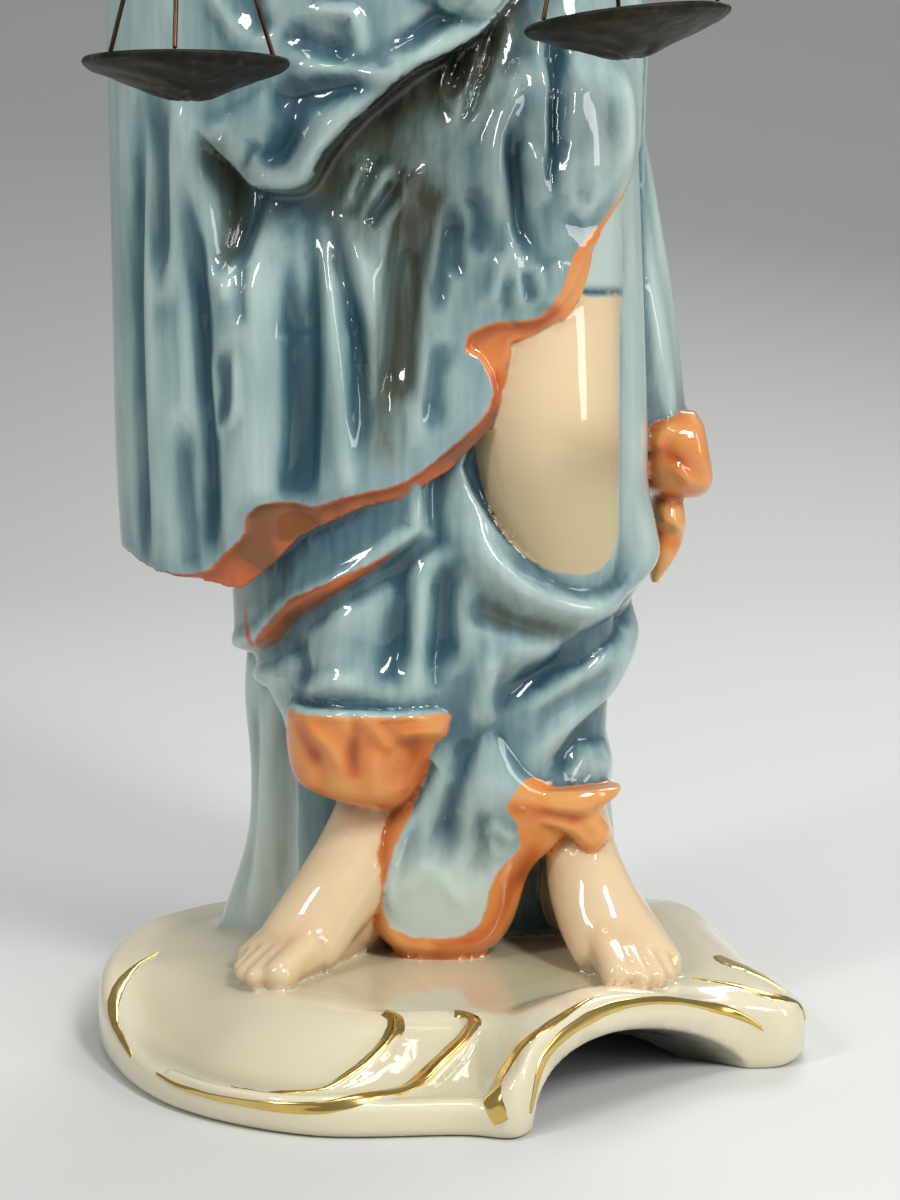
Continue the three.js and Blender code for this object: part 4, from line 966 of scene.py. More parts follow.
def hairRib(turn, s):
    return 1 + 0.05 * np.sin(9 * turn + 16 * s) + 0.03 * np.sin(17 * turn - 9 * s)


def bunRib(turn, s):
    return 1 + 0.05 * np.sin(8 * turn + 14 * s)


def hairCapPlace(u, v):
    turn, rise = 2 * np.pi * u, np.pi * (v - 0.5)
    strand = 1 + 0.018 * np.sin(46 * turn + 6 * np.sin(3 * rise)) + 0.012 * np.sin(25 * turn)
    x, y, z = np.cos(rise) * np.sin(turn), -np.cos(rise) * np.cos(turn), np.sin(rise)
    return -0.5 + 13.8 * x * strand, 11 + 15.8 * y * strand, eyes + 6 + 14.2 * z * strand


painted("hair", gridSolid("hairCap", 220, 110, hairCapPlace))
for side in (-1, 1):
    wave = [
        (0, -4, eyes + 13.6), (side * 6.5, -3.8, eyes + 11.5), (side * 10.6, 0.6, eyes + 6.6),
        (side * 12.4, 8, eyes), (side * 10.4, 18, eyes - 4), (side * 3, 25, eyes - 4)]
    painted(
        "hair",
        rollSolid(
            "hairWave" + str(side), wave, [2.4, 3.2, 3.6, 3.8, 4, 3], around=72, along=120, rib=hairRib))
bunPoints = [(-0.5, 22, eyes - 2), (-0.5, 26, eyes - 2), (-0.5, 31, eyes - 2.4)]
painted("hair", rollSolid("bun", bunPoints, [(6, 6), (8.2, 7.8), (6.4, 6)], around=90, along=60, rib=bunRib))

print("the porcelain in one piece")
glaze = {"voxel": 0.00066, "quickVoxel": 0.0014, "smoothing": 2, "mostTriangles": 192000, "keptDense": 1.5}


def treeOf(pieces):
    points, faces = [], []
    for piece in pieces:
        start = len(points)
        points.extend(v.co.copy() for v in piece.data.vertices)
        faces.extend([start + i for i in polygon.vertices] for polygon in piece.data.polygons)
    return BVHTree.FromPolygons(points, faces)


trees = {kind: treeOf(pieces) for kind, pieces in paintClasses.items()}
deselectAll()
for pieces in paintClasses.values():
    for piece in pieces:
        piece.select_set(True)
bpy.context.view_layer.objects.active = baseSolid
bpy.ops.object.join()
figure = bpy.context.object
figure.name = "porcelainFigure"
figure.data.remesh_voxel_size = glaze["voxel"]
figure.data.use_remesh_fix_poles = False
bpy.ops.object.voxel_remesh()
hemStrip = [
    (-33, 69), (-31, 71.6), (-29.2, 73.8), (-26.6, 76.6), (-20.7, 79.4), (-15.9, 81.6), (-10.7, 84),
    (-8.6, 85.2), (-10.7, 82.9), (-15.5, 79.5), (-20.7, 76.2), (-25.5, 72.8), (-28.7, 68.6), (-31.4, 66.4),
    (-32.8, 66.8)]
flat = np.empty(len(figure.data.vertices) * 3)
figure.data.vertices.foreach_get("co", flat)
x, y, z = flat.reshape(-1, 3).T / mm
nearPaint = np.full(x.shape, 99.0)
front = (y < 6) & (z < 190)
for polygon in (mantle["blue"], gown["legOpening"], tongue["blue"], hemStrip):
    nearPaint[front] = np.minimum(nearPaint[front], np.abs(insidePolygon(polygon, x[front], z[front])))
nearPaint[front & (np.abs(z - 126.6) < 2) & (x > 17)] = 0
painting = figure.vertex_groups.new(name="painting")
painting.add(np.where(nearPaint < glaze["keptDense"])[0].tolist(), 1.0, "REPLACE")
shapings = (
    ("SMOOTH", {"factor": 0.5, "iterations": glaze["smoothing"]}),
    ("DECIMATE", {"vertex_group": "painting", "invert_vertex_group": True}),
)
for kind, settings in shapings:
    shaping = figure.modifiers.new(kind.lower(), kind)
    for key, value in settings.items():
        setattr(shaping, key, value)
    if kind == "DECIMATE":
        shaping.ratio = min(1, glaze["mostTriangles"] / (2 * len(figure.data.polygons)))
    bpy.ops.object.modifier_apply(modifier=shaping.name)
print("porcelain triangles", sum(len(p.vertices) - 2 for p in figure.data.polygons))

mesh = figure.data
count = len(mesh.vertices)
flat = np.empty(count * 3)
mesh.vertices.foreach_get("co", flat)
spots = flat.reshape(-1, 3)
spots[:, 2] = np.maximum(spots[:, 2], 0)
spots = spots.copy() / mm
edges = np.empty(len(mesh.edges) * 2, int)
mesh.edges.foreach_get("vertices", edges)
edges = edges.reshape(-1, 2)
degree = np.bincount(edges.ravel(), minlength=count).astype(float)


def smoothed(values, rounds):
    values = values.astype(float).copy()
    first, second = edges[:, 0], edges[:, 1]
    for _ in range(rounds):
        total = np.bincount(first, weights=values[second], minlength=count)
        total = total + np.bincount(second, weights=values[first], minlength=count)
        values = 0.5 * values + 0.5 * total / degree
    return values


print("painting")
kinds = list(trees)
far = {kind: np.empty(count) for kind in kinds}
for i, spot in enumerate(spots):
    place = Vector(spot * mm)
    for kind in kinds:
        hit = trees[kind].find_nearest(place, 0.006)
        far[kind][i] = hit[3] / mm if hit[0] is not None else 6.0
stacked = np.stack([far[kind] for kind in kinds])
fields = {}
for k, kind in enumerate(kinds):
    others = np.delete(stacked, k, axis=0).min(axis=0)
    fields[kind] = np.clip(others - stacked[k], -3, 3)
ease = blend01(fields["skin"], 0.2, 1.2) * np.where(
    spots[:, 2] < 41, blend01(spots[:, 2], 17, 21), np.where(spots[:, 2] > 200, 0.5, 0))
for k in range(3):
    spots[:, k] += ease * (smoothed(spots[:, k], 12) - spots[:, k])
mesh.vertices.foreach_set("co", (spots * mm).ravel())
mesh.update()
mesh.vertices.foreach_get("normal", flat)
normals = flat.reshape(-1, 3).copy()
x, y, z = spots.T


def nearLines(lines, count=30):  # 1 on any of the lines, less with distance over each one's width
    near = 0
    for points, width in lines:
        distance = nearestOnLine(curveThrough(points, count), x, z)[0]
        near = near + np.exp(-(distance / width) ** 2)
    return near


blueRegion = insidePolygon(mantle["blue"], x, z)
turnedBack = np.where((y < 12) & (z < 190), np.minimum(fields["mantle"], -blueRegion), -3)
underneath = np.minimum(fields["mantle"], np.where((normals[:, 2] < -0.6) & (z < 112), 1.5, -1.5))
ahead = y < 8
tongueBorder = np.where(
    ahead & (z < 46), np.minimum(fields["tongue"] + 0.6, -insidePolygon(tongue["blue"], x, z)), -3)
onGown = np.where(y < 12, fields["gown"], -3)
edgeLine = [(-35, 76), (-34.7, 73), (-34.5, 70), (-33.8, 67.5)]
strips = np.minimum(
    onGown, np.maximum(insidePolygon(hemStrip, x, z), 0.55 - nearestOnLine(edgeLine, x, z)[0]))
cuffRim = np.where((x < 0) & (z > 52) & (z < 61) & (y < 4), 57.4 - z, 3)
legWindow = insidePolygon(gown["legOpening"], x, z)
legSkin = np.where(
    (z > 48) & (z < 190),
    np.minimum(np.maximum(fields["skin"], fields["under"]), np.where(y < 16, legWindow, -3)), fields["skin"]
)
underCloth = np.where(
    (z > 124) & (x > 18) & (x < 31), np.minimum(np.maximum(fields["under"], fields["skin"]), z - 126.3), -3)
paint = {
    "liningPaint": np.max([
        np.minimum(fields["lining"], cuffRim), turnedBack, underneath, tongueBorder, strips], axis=0),
    "skinPaint": legSkin, "basePaint": fields["base"], "underPaint": underCloth,
    "hairPaint": fields["hair"], "bandPaint": fields["band"], "lipPaint": fields["lips"],
    "trimPaint": fields["belt"],
}
before = y < 14
# hollowness: how far each spot lies below its smoothed surroundings; it darkens the hollows and lightens the
# ridges, partly the paint's own pooling in the folds and partly painted shade and painted highlight
hollowness = np.zeros(count)
for rounds, weight, scale in ((10, 0.45, 0.16), (70, 0.65, 0.9)):
    drift = np.column_stack([smoothed(spots[:, k], rounds) for k in range(3)]) - spots
    hollowness += weight * np.tanh((drift * normals).sum(axis=1) / scale)
paint["hollowness"] = hollowness * np.where(
    before & (z < 190), 0.3 + 0.7 * blend01(np.abs(blueRegion), 0.8, 3), 1)
# painted shadow: dark under the swag's lip and down the deepest furrows, kept in the shade attribute
fromLip, lipSide, _ = nearestOnLine(lipLine, x, z)
leftEnd = blend01(x, -44, -36) * (1 - 0.55 * (1 - blend01(x, -33, -24)))
rightEnd = 1 - 0.8 * blend01(x, 2, 16)
lowestPoint = 1 - 0.75 * np.exp(-((x + 28) / 6) ** 2)
underLip = (lipSide < 0) * leftEnd * rightEnd * lowestPoint
narrow = 0.55 * np.exp(-(fromLip / 3.2) ** 2)
wide = 0.62 * np.exp(-(fromLip / 12.5) ** 2) * (0.4 + 0.6 * blend01(x, -24, -14))
darkHollow = underLip * (narrow + wide)
darkFurrows = nearLines((
    ([(-6, 145), (-8.5, 132), (-10.5, 118), (-10.5, 102)], 3.2), ([(-2.5, 142), (-5, 130), (-7, 112)], 2.6),
    ([(7, 74), (12, 72.5), (17, 71)], 2.2), ([(-37, 150), (-35, 143), (-36, 133)], 2.2)))
blueFurrows = nearLines((
    ([(-25, 136), (-25.5, 118), (-25.5, 97)], 3.4), ([(-22, 140), (-22, 120), (-22.5, 100)], 2.6),
    ([(-41.5, 140), (-40.5, 110), (-40.2, 88)], 2.4), ([(-15, 122), (-14, 106)], 2.6),
    ([(17.5, 165), (16, 145)], 1.8), ([(0, 85), (-0.5, 68)], 2.4), ([(-8, 84), (-9.5, 64)], 2.6),
    ([(36, 81), (29, 74), (20, 66), (10, 59)], 2.6), ([(27.5, 56), (18, 46)], 2.2),
    ([(3, 54), (0, 38)], 2.4), ([(-26, 159), (-12, 158.5)], 3.2), ([(-25, 156), (-27, 149)], 3.0)))
paint["shade"] = np.where(before, np.clip(darkHollow + 0.48 * darkFurrows, 0, 1.05), 0)
paint["blueShade"] = np.where(before, np.clip(0.55 * blueFurrows, 0, 0.6), 0)
redLines = (
    ([(-26.4, 47), (-25, 44.4), (-21, 42.8), (-14, 41.6), (-9, 41.8), (-5.4, 44)], 1.3),
    ([(-16.2, 52.5), (-16, 48)], 1.7), ([(-5.6, 53), (-5, 48), (-6.6, 44)], 1.9),
    ([(-25, 55), (-22.6, 50)], 1.4), ([(11, 41), (15, 40.2), (21, 38.6)], 1.3),
    ([(-31, 92), (-27, 88.5), (-22, 88)], 1.4), ([(-33, 85), (-29, 82)], 1.4),
    ([(2, 118.6), (8, 121.2), (14, 121.8), (17, 124)], 1.1), ([(7.5, 113), (7, 107), (2, 100)], 1.2),
    ([(10.4, 27), (8.6, 21), (5.4, 17.4), (-2, 15.6)], 1.3), ([(14.6, 33), (12, 28)], 1.5),
    ([(36, 84.6), (41, 82)], 1.4), ([(35.4, 91.4), (46, 91)], 1.1), ([(37, 100), (40, 98)], 1.5))
paint["redShade"] = np.clip(nearLines(redLines, 20), 0, 1)
paint["brownShade"] = np.where(
    before & (z < 118) & (z > 60), blend01(-fields["lining"], 0, 2) * blend01(112 - z, 0, 12), 0)
paint["blueLine"] = np.where(before, np.exp(-((z - 127.1) / 0.8) ** 2), 0)
calf = 0.55 * (1 - blend01(z, 92, 110))
knee = 0.5 * np.exp(-((z - 100) / 5) ** 2) * blend01(x, 14, 22)
paint["legShade"] = np.where(before & (z > 60), np.clip(calf + knee, 0, 1), 0)
paleTongue = np.where((y < 8) & (z < 42) & (x > -14) & (x < 16), blend01(38 - z, 0, 14), 0)
paleTrail = np.where((x < -27) & (z < 62), 0.3 + 0.6 * blend01(60 - z, 0, 45), 0)
paleColumn = 0.45 * blend01(x, 26, 28) * blend01(z, 78, 88) * (1 - blend01(z, 150, 172))
paleTail = 0.3 * blend01(x, 33, 36) * blend01(z, 90, 100)
paint["paleness"] = paleTongue + paleTrail + (before * paleColumn + paleTail)
# painted shade: the inside of the base's hollow and under its arch, darkened as unlit, kept in the inside
# attribute
inward = (normals[:, 2] < -0.3) | (normals[:, 0] * x + normals[:, 1] * y < 0)
underBaseShade = (fields["base"] > 0) & (np.hypot(x / 61, y / 55) < 0.92) & (z < 12.6) & (normals[:, 2] < 0.1)
paint["inside"] = np.where(underBaseShade & inward, blend01(-fromArch(x, y)[1], -2, 5), 0)
for name, values in paint.items():
    if name.endswith("Paint"):
        values = smoothed(values, 1)
    if name == "inside":
        values = smoothed(values, 5)
    layer = mesh.attributes.new(name, "FLOAT", "POINT")
    layer.data.foreach_set("value", values.astype(np.float32))
makeActive(figure)
bpy.ops.object.shade_smooth()


# Materials
def newMaterial(name):
    material = bpy.data.materials.new(name)
    material.use_nodes = True
    tree = material.node_tree
    return material, tree, tree.nodes["Principled BSDF"]


def mathNode(tree, operation, *values):
    node = tree.nodes.new("ShaderNodeMath")
    node.operation = operation
    for socket, value in zip(node.inputs, values):
        if isinstance(value, (int, float)):
            socket.default_value = value
        else:
            tree.links.new(value, socket)
    return node.outputs[0]


def noiseNode(tree, scale, stretch, detail=3.0):
    coordinates = tree.nodes.new("ShaderNodeTexCoord")
    mapping = tree.nodes.new("ShaderNodeMapping")
    mapping.inputs["Scale"].default_value = stretch
    texture = tree.nodes.new("ShaderNodeTexNoise")
    texture.inputs["Scale"].default_value = scale
    texture.inputs["Detail"].default_value = detail
    tree.links.new(coordinates.outputs["Object"], mapping.inputs["Vector"])
    tree.links.new(mapping.outputs["Vector"], texture.inputs["Vector"])
    return texture.outputs["Fac"]


def attributeNode(tree, name):
    node = tree.nodes.new("ShaderNodeAttribute")
    node.attribute_name = name
    return node.outputs["Fac"]


def mixColour(tree, factor, first, second):
    node = tree.nodes.new("ShaderNodeMix")
    node.data_type = "RGBA"
    sockets = [s for s in node.inputs if s.type == "RGBA"]
    if isinstance(factor, (int, float)):
        node.inputs["Factor"].default_value = factor
    else:
        tree.links.new(factor, node.inputs["Factor"])
    for socket, value in zip(sockets, (first, second)):
        if isinstance(value, tuple):
            socket.default_value = (*value, 1)
        else:
            tree.links.new(value, socket)
    return [s for s in node.outputs if s.type == "RGBA"][0]


def ramp(tree, value, stops):
    node = tree.nodes.new("ShaderNodeValToRGB")
    node.color_ramp.elements[0].position, node.color_ramp.elements[0].color = stops[0][0], (*stops[0][1], 1)
    node.color_ramp.elements[1].position, node.color_ramp.elements[1].color = stops[-1][0], (*stops[-1][1], 1)
    for position, colour in stops[1:-1]:
        node.color_ramp.elements.new(position).color = (*colour, 1)
    tree.links.new(value, node.inputs["Fac"])
    return node.outputs["Color"]


def span(tree, value, low, high):
    node = tree.nodes.new("ShaderNodeMapRange")
    node.inputs["From Min"].default_value = low
    node.inputs["From Max"].default_value = high
    tree.links.new(value, node.inputs["Value"])
    return node.outputs["Result"]


def varied(tree, value, texture, strength):  # a value swung up and down by a noise
    swing = mathNode(tree, "MULTIPLY", mathNode(tree, "SUBTRACT", texture, 0.5), strength)
    return mathNode(tree, "ADD", value, swing)


def raisedBy(tree, value, name, strength):  # a value raised where an attribute is painted
    return mathNode(tree, "ADD", value, mathNode(tree, "MULTIPLY", attributeNode(tree, name), strength))


# 0 outside the painted field, 1 inside, with a hand-painted edge
def paintEdge(tree, name, wobble, soft=0.25):
    return span(tree, mathNode(tree, "ADD", attributeNode(tree, name), wobble), -soft, soft)


colours = {
    "clothPale": (0.40, 0.51, 0.49), "clothLight": (0.225, 0.325, 0.325), "clothMid": (0.10, 0.18, 0.20),
    "clothDeep": (0.032, 0.085, 0.115), "clothNight": (0.021, 0.058, 0.076),
    # the olive and the near-black cloth colours are painted shadow
    "clothWhite": (0.60, 0.65, 0.57), "clothShadowOlive": (0.075, 0.085, 0.058),
    "clothShadowDark": (0.012, 0.014, 0.010), "skin": (0.68, 0.52, 0.32), "skinShade": (0.30, 0.25, 0.115),
    "skinWarm": (0.62, 0.38, 0.20), "orange": (0.66, 0.22, 0.05), "orangeLight": (0.72, 0.35, 0.11),
    "orangeDeep": (0.46, 0.095, 0.018), "liningBrown": (0.19, 0.062, 0.018), "base": (0.66, 0.60, 0.43),
    # the darkest base colour is painted shade inside the base
    "baseShade": (0.47, 0.43, 0.28), "underBaseShade": (0.10, 0.095, 0.08), "under": (0.44, 0.53, 0.49),
    "hair": (0.12, 0.056, 0.024), "hairLight": (0.25, 0.13, 0.06), "band": (0.68, 0.66, 0.58),
    "lips": (0.52, 0.18, 0.11), "trim": (0.56, 0.20, 0.05),
}
porcelain, tree, shader = newMaterial("paintedPorcelain")
streaks = noiseNode(tree, 420, (1.0, 1.0, 0.12), 4)
patches = noiseNode(tree, 70, (1.0, 1.0, 0.5), 3)
wobble = mathNode(tree, "MULTIPLY", mathNode(tree, "SUBTRACT", noiseNode(tree, 700, (1, 1, 1), 2), 0.5), 0.7)
# cloth tone: painted shade in the hollows and painted highlight on the ridges from hollowness, with brush
# streaks, patches, paleness and the painted shade of blueShade
tone = mathNode(tree, "MULTIPLY_ADD", attributeNode(tree, "hollowness"), 0.30, 0.38)
tone = varied(tree, tone, streaks, 0.42)
tone = varied(tree, tone, patches, 0.40)
tone = raisedBy(tree, tone, "paleness", -0.3)
tone = raisedBy(tree, tone, "blueShade", 0.30)
darkness = mathNode(
    tree, "MULTIPLY", attributeNode(tree, "shade"), mathNode(tree, "MULTIPLY_ADD", streaks, 1.5, 0.1))
cloth = ramp(tree, tone, [
    (0.0, colours["clothPale"]), (0.3, colours["clothLight"]), (0.52, colours["clothMid"]),
    (0.72, colours["clothDeep"]), (0.95, colours["clothNight"])])
cloth = mixColour(
    tree, mathNode(tree, "MULTIPLY", attributeNode(tree, "paleness"), 0.6), cloth, colours["clothWhite"])
# painted shadow where the shade attribute is strong: olive, then near black
cloth = mixColour(tree, span(tree, darkness, 0.05, 0.55), cloth, colours["clothShadowOlive"])
cloth = mixColour(tree, span(tree, darkness, 0.42, 0.95), cloth, colours["clothShadowDark"])
# lining tone: painted shade in the hollows, deepened by the painted shade of redShade and brownShade
liningTone = mathNode(tree, "MULTIPLY_ADD", attributeNode(tree, "hollowness"), 0.14, 0.40)
liningTone = varied(tree, liningTone, patches, 0.9)
liningTone = raisedBy(tree, liningTone, "redShade", 0.36)
liningTone = raisedBy(tree, liningTone, "brownShade", 0.44)
liningColour = ramp(tree, liningTone, [
    (0.1, colours["orangeLight"]), (0.42, colours["orange"]), (0.75, colours["orangeDeep"]),
    (0.95, colours["liningBrown"])])
# skin warmer and darker in the hollows: painted shade; legShade paints the shade on the leg
skinTone = mathNode(tree, "MULTIPLY_ADD", attributeNode(tree, "hollowness"), 0.5, 0.12)
skinColour = mixColour(tree, skinTone, colours["skin"], colours["skinWarm"])
skinColour = mixColour(
    tree, mathNode(tree, "MULTIPLY", attributeNode(tree, "legShade"), 0.8), skinColour, colours["skinShade"]
)
baseColour = mixColour(
    tree, mathNode(tree, "MULTIPLY_ADD", attributeNode(tree, "hollowness"), 0.4, 0.2), colours["base"],
    colours["baseShade"])
# painted shade inside the base's hollow and arch
baseColour = mixColour(tree, attributeNode(tree, "inside"), baseColour, colours["underBaseShade"])
hairColour = mixColour(
    tree, mathNode(tree, "MULTIPLY_ADD", mathNode(tree, "SUBTRACT", streaks, 0.5), 2.2, 0.4),
    colours["hair"], colours["hairLight"])
underColour = mixColour(tree, attributeNode(tree, "blueLine"), colours["under"], colours["clothDeep"])
colour = cloth
for name, layerColour in (
    ("basePaint", baseColour), ("skinPaint", skinColour), ("underPaint", underColour),
    ("hairPaint", hairColour), ("bandPaint", colours["band"]), ("lipPaint", colours["lips"]),
    ("trimPaint", colours["trim"]), ("liningPaint", liningColour)
):
    colour = mixColour(tree, paintEdge(tree, name, wobble), colour, layerColour)
tree.links.new(colour, shader.inputs["Base Color"])
shader.inputs["Roughness"].default_value = 0.32
shader.inputs["Specular IOR Level"].default_value = 0.1
shader.inputs["Coat Weight"].default_value = 1.0
shader.inputs["Coat Roughness"].default_value = 0.03
figure.data.materials.clear()
figure.data.materials.append(porcelain)
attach(figure, "root")
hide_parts("porcelain_figure")

print("gilding")
gold, tree, shader = newMaterial("wornGilding")
goldColour = ramp(
    tree, noiseNode(tree, 260, (1, 1, 1), 4), [(0.3, (0.70, 0.47, 0.13)), (0.7, (0.80, 0.58, 0.20))])
tree.links.new(goldColour, shader.inputs["Base Color"])
shader.inputs["Metallic"].default_value = 1
shader.inputs["Roughness"].default_value = 0.2
porcelainTree = treeOf([figure])
# strokes laid on the porcelain: points, then half widths
gilding = {
    "leftEdge": (
        [
            (-51.6, 8.9, 11.3), (-54.4, 1.6, 11.2), (-56.2, -7.4, 10.1), (-56.4, -14.6, 8.6),
            (-55.6, -19.3, 7.4), (-53.7, -24, 6.3), (-51.2, -30, 5)],
        [0.2, 0.4, 0.7, 1.0, 0.8, 0.55, 0.25]),
    "outerScroll": (
        [
            (-46.2, -37.7, 4.8), (-42.8, -42, 4.4), (-37.4, -46.4, 4.3), (-31.2, -50.2, 4.4),
            (-24.8, -52.8, 4.6), (-18.3, -54, 5), (-12.7, -52.3, 6), (-7.1, -47.5, 6), (-3.2, -43.5, 7.2),
            (0.4, -40.2, 8.8), (2.8, -37.8, 10.4), (3.8, -35.2, 12), (2.6, -33.1, 13), (0.8, -32.6, 13)],
        [0.2, 0.3, 0.4, 0.5, 0.6, 0.75, 0.85, 1.0, 1.3, 1.5, 1.5, 1.3, 1.1, 0.9]),
    "innerScroll": (
        [
            (-33.5, -47.1, 5.5), (-28.6, -49.4, 5.6), (-24.1, -47.9, 5.2), (-19.4, -45.4, 5.6),
            (-15.9, -43.5, 6.3), (-12.5, -41.5, 7.8), (-9.7, -38.7, 9.9), (-8.6, -35.9, 11.7),
            (-9.1, -33.5, 12.8), (-10.3, -32.3, 13)],
        [0.2, 0.25, 0.45, 0.6, 0.7, 0.8, 1.0, 1.1, 1.2, 1.0]),
    "archOuter": (
        [
            (22.3, -38.8, 17.4), (17.3, -44.9, 16.5), (13.1, -48.1, 14.6), (9.6, -48.3, 10.9),
            (7.4, -49, 7.5), (6.5, -54.4, 6.1), (7.7, -55.4, 3.2)],
        [0.12, 0.5, 0.8, 1.1, 1.45, 1.6, 1.1]),
    "archInner": (
        [
            (12.1, -53.4, 3.9), (12.7, -52.5, 6.5), (14, -50.5, 10.7), (16.4, -47.7, 13.2),
            (20.2, -43.9, 14.9), (25.2, -39.1, 15.9), (30.2, -34.5, 15.6), (35, -30, 14.5),
            (40.4, -25.3, 12.5), (45.9, -22, 10), (49.6, -21.4, 8.2), (51.5, -21.2, 6.9)],
        [0.3, 0.7, 0.8, 0.8, 0.8, 0.75, 0.6, 0.6, 0.65, 0.8, 0.6, 0.2]),
    "rightEdge": ([
        (40.5, -12.9, 13), (45.3, -15.3, 13), (48.8, -17.2, 12.5), (52.6, -18.4, 11.4), (56, -16.6, 9),
        (58.2, -15.2, 6.8)], [0.12, 0.45, 0.7, 0.85, 0.8, 0.3]),
    "rightCrescent": ([
        (46.4, 1, 13), (48.1, -2.5, 13), (50.9, -5.5, 12.9), (53.1, -9.1, 12.2), (54.6, -11.3, 11.3),
        (55.8, -14, 10.2)], [0.8, 1.8, 2.0, 1.5, 0.8, 0.3]),
}
strokes = []
gildingBreadth = 1.4
stepsAcross, stepsAlong = 10, 119
strokeStops = stepsAlong + 1
for name, (points, halfWidths) in gilding.items():
    line = curveThrough(points, strokeStops)
    widths = gildingBreadth * np.interp(
        np.linspace(0, 1, strokeStops), np.linspace(0, 1, len(halfWidths)), halfWidths)
    slow, quick = [np.sin(np.linspace(0, swing, strokeStops)) for swing in (23, 61)]
    widths *= 1 + 0.06 * slow + 0.04 * quick  # the uneven pull of a brush
    hits = [porcelainTree.find_nearest(Vector(p) * mm) for p in line]
    centres = np.array([hit[0][:] for hit in hits]) / mm
    for _ in range(3):
        centres[1:-1] = (centres[:-2] + 2 * centres[1:-1] + centres[2:]) / 4
    tangents = np.gradient(centres, axis=0) + 0.2 * np.gradient(line, axis=0)
    tangents /= np.linalg.norm(tangents, axis=1)[:, None]
    ups = np.array([hit[1][:] for hit in hits])
    for _ in range(12):
        ups[1:-1] = (ups[:-2] + 2 * ups[1:-1] + ups[2:]) / 4
    across = np.cross(tangents, ups)
    across /= np.linalg.norm(across, axis=1)[:, None]

    def strokePlace(u, v, centres=centres, across=across, widths=widths):
        i = np.round(v * stepsAlong).astype(int)
        j = np.round(u * stepsAcross).astype(int)
        offset = 2 * u - 1
        places = centres[i] + across[i] * (widths[i] * offset)[:, None]
        out = np.empty((stepsAcross + 1, strokeStops, 3))
        for k, place in enumerate(places):
            hit = porcelainTree.find_nearest(Vector(place) * mm)
            lift = 0.2 - 0.34 * abs(offset[k]) ** 4  # the strip's edges sink into the glaze
            out[j[k], i[k]] = np.array(hit[0][:]) / mm + np.array(hit[1][:]) * lift
        for _ in range(2):
            out[:, 1:-1] = (out[:, :-2] + 2 * out[:, 1:-1] + out[:, 2:]) / 4
        return out[j, i].T

    strokes.append(gridSolid("gilding_" + name, stepsAcross, stepsAlong, strokePlace))
for stroke in strokes:
    makeActive(stroke)
    body = stroke.modifiers.new("body", "SOLIDIFY")
    body.thickness = 0.0004
    body.offset = -1
    bpy.ops.object.modifier_apply(modifier="body")
    bpy.ops.object.shade_smooth()
    stroke.data.materials.append(gold)
    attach(stroke, "root")

print("the balance")
balance = {
    "panRadius": 15.6, "panWall": 0.8, "wireRadius": 0.36, "wireLength": 44,
    "left": {"middle": (-39.6, -36, 160.8), "tilt": 0}, "right": {"middle": (26.6, -36, 167), "tilt": 6},
}


def tilted(points, pan):
    lean = math.radians(pan["tilt"])
    x, y, z = [np.asarray(c, float) for c in points]
    x0, y0, z0 = pan["middle"]
    return x0 + x * math.cos(lean) - z * math.sin(lean), y0 + y, z0 + x * math.sin(lean) + z * math.cos(lean)


profile = np.array([
    (0, -5.2), (2.5, -5.15), (4.6, -4.6), (7.5, -3.4), (11, -2.2), (14.4, -0.9), (15.5, -0.15),
    (15.65, 0.35), (15.4, 0.75), (14.9, 0.6), (12, -0.6), (8, -2.3), (4.4, -3.6), (0, -4.2)])
profile[:, 0] *= balance["panRadius"] / 15.65


def panSolid(name, pan):
    def place(u, v):
        t = v * (len(profile) - 1)
        radius, height = [np.interp(t, np.arange(len(profile)), profile[:, k]) for k in (0, 1)]
        turn = 2 * np.pi * u
        lump = 0.16 * np.sin(5 * turn + 1) * np.exp(-((radius - 5) / 3) ** 2)
        lump = lump + 0.10 * np.sin(9 * turn + radius)
        lump *= (v < 0.45) * np.clip(radius / 3, 0, 1)
        return tilted((radius * np.cos(turn), radius * np.sin(turn), height + lump), pan)
    return gridSolid(name, 96, 60, place)


def wiresSolid(name, side, pan):
    pieces = []
    top = (0, 0, balance["wireLength"])
    for k, degrees in enumerate((-90, 30, 150)):
        angle = math.radians(degrees + (0 if side == "left" else 60))
        reach = balance["panRadius"] - 0.8
        foot = (math.cos(angle) * reach, math.sin(angle) * reach, balance["panWall"] + 0.3)
        middle = tuple(0.5 * (a + b) for a, b in zip(foot, top))
        line = [tilted(p, pan) for p in (foot, middle, top)]
        pieces.append(rollSolid(
            name + str(k), line, [balance["wireRadius"]] * 2, up=(0.3, 1, 0), around=12, along=60))
    pieces.append(ballSolid(name + "Knot", tilted(top, pan), (1.0, 1.0, 1.3), segments=20))
    deselectAll()
    for piece in pieces:
        piece.select_set(True)
    bpy.context.view_layer.objects.active = pieces[0]
    bpy.ops.object.join()
    joinedWires = bpy.context.object
    joinedWires.name = name
    return joinedWires


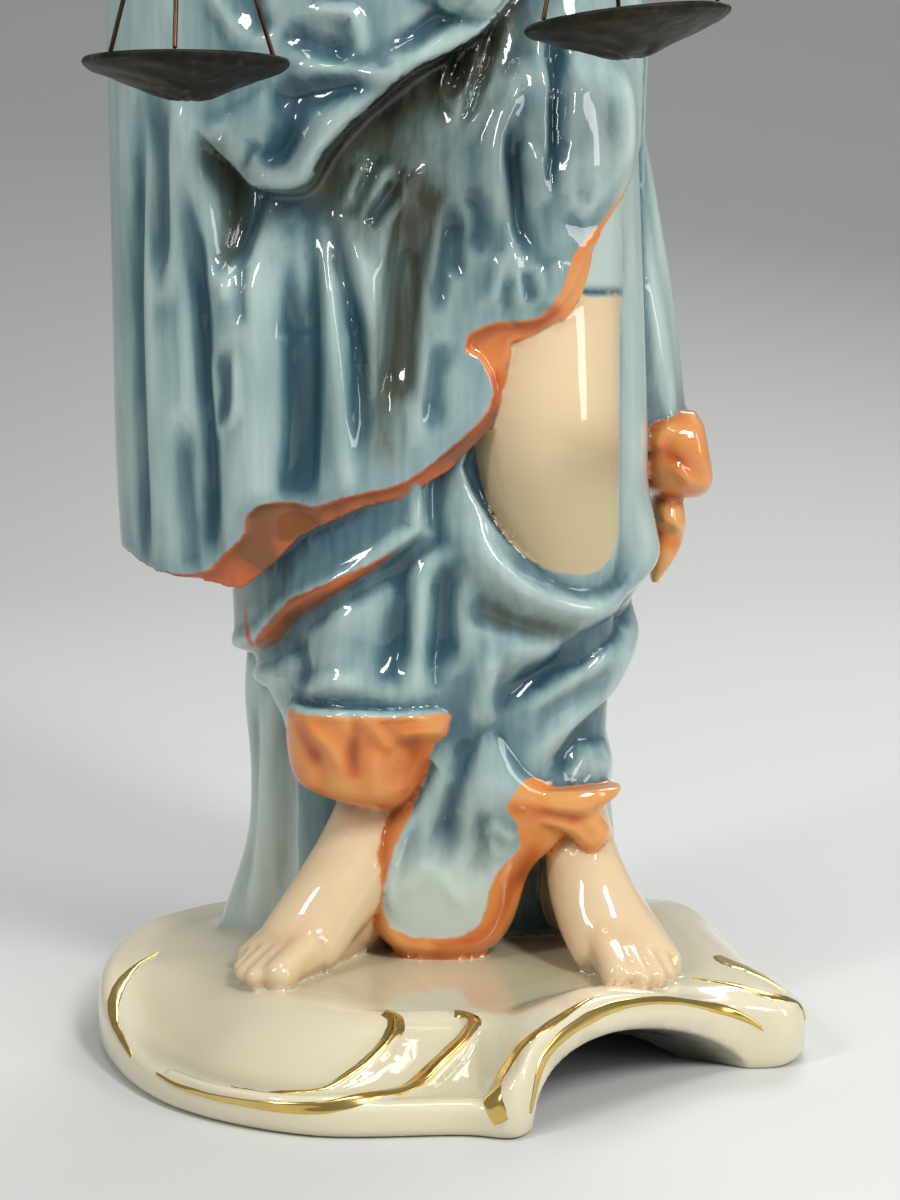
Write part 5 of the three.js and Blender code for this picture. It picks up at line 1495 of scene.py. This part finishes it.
patina, tree, shader = newMaterial("darkPatinatedBrass")
wear = noiseNode(tree, 500, (1, 1, 1), 5)
patinaColour = ramp(tree, wear, [
    (0.35, (0.012, 0.010, 0.007)), (0.6, (0.026, 0.021, 0.014)), (0.8, (0.09, 0.065, 0.035))])
tree.links.new(patinaColour, shader.inputs["Base Color"])
shader.inputs["Metallic"].default_value = 0.15
shader.inputs["Specular IOR Level"].default_value = 0.12
shader.inputs["Roughness"].default_value = 0.42
bump = tree.nodes.new("ShaderNodeBump")
bump.inputs["Strength"].default_value = 0.5
bump.inputs["Distance"].default_value = 0.0004
tree.links.new(wear, bump.inputs["Height"])
tree.links.new(bump.outputs["Normal"], shader.inputs["Normal"])
copper, tree, shader = newMaterial("copperyWire")
tree.links.new(
    ramp(
        tree, noiseNode(tree, 800, (1, 1, 0.3), 4),
        [(0.3, (0.05, 0.026, 0.014)), (0.7, (0.13, 0.068, 0.038))]),
    shader.inputs["Base Color"])
shader.inputs["Metallic"].default_value = 0.9
shader.inputs["Roughness"].default_value = 0.38
brass, tree, shader = newMaterial("agedBrass")
tree.links.new(
    ramp(tree, noiseNode(tree, 400, (1, 1, 1), 5), [(0.3, (0.17, 0.115, 0.05)), (0.7, (0.40, 0.29, 0.14))]),
    shader.inputs["Base Color"])
shader.inputs["Metallic"].default_value = 0.95
shader.inputs["Roughness"].default_value = 0.34


def finish(piece, material, node):
    makeActive(piece)
    bpy.ops.object.shade_smooth_by_angle(angle=math.radians(50))
    piece.data.materials.clear()
    piece.data.materials.append(material)
    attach(piece, "root")
    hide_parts(node)


for side in ("left", "right"):
    finish(panSolid(side + "Pan", balance[side]), patina, side + "_pan")
    finish(wiresSolid(side + "PanWires", side, balance[side]), copper, side + "_pan_wires")
for node in ("balance_hanger", "balance_beam"):
    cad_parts[node].data.materials.clear()
    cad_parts[node].data.materials.append(brass)

# The studio
deselectAll()
bpy.ops.mesh.primitive_grid_add(x_subdivisions=8, y_subdivisions=80, size=4)
floor = bpy.context.object
floor.name = "floor"
for vertex in floor.data.vertices:  # the floor curves up softly behind
    vertex.co.z = 0.6 * max(0, vertex.co.y - 0.6) ** 2
bpy.ops.object.shade_smooth()
floorMaterial, tree, shader = newMaterial("paleFloor")
shader.inputs["Base Color"].default_value = (0.58, 0.59, 0.57, 1)
shader.inputs["Roughness"].default_value = 0.7
floor.data.materials.append(floorMaterial)
world = bpy.data.worlds.new("studio")
world.use_nodes = True
world.node_tree.nodes["Background"].inputs["Color"].default_value = (0.86, 0.88, 0.90, 1)
world.node_tree.nodes["Background"].inputs["Strength"].default_value = 0.3
bpy.context.scene.world = world
lights = {  # place, aim, width, height, watts
    "keyLight": ((0.42, -0.62, 0.72), (0, 0, 0.1), 0.14, 0.34, 5.6),
    "fillLight": ((-0.6, -0.55, 0.62), (0, 0, 0.1), 0.12, 0.3, 2.8),
    "sideLight": ((0.65, -0.38, 0.35), (0, 0, 0.1), 0.16, 0.46, 1.6),
    "topLight": ((0.0, -0.15, 1.0), (0, 0, 0.1), 0.3, 0.3, 2.4),
    "backLight": ((0.25, 0.7, 0.7), (0, 0, 0.15), 0.4, 0.4, 4),
}
for name, (place, aim, width, height, watts) in lights.items():
    data = bpy.data.lights.new(name, "AREA")
    data.shape, data.size, data.size_y, data.energy = "RECTANGLE", width, height, watts
    lamp = bpy.data.objects.new(name, data)
    lamp.location = place
    lamp.rotation_euler = (Vector(aim) - Vector(place)).to_track_quat("-Z", "Y").to_euler()
    bpy.context.scene.collection.objects.link(lamp)
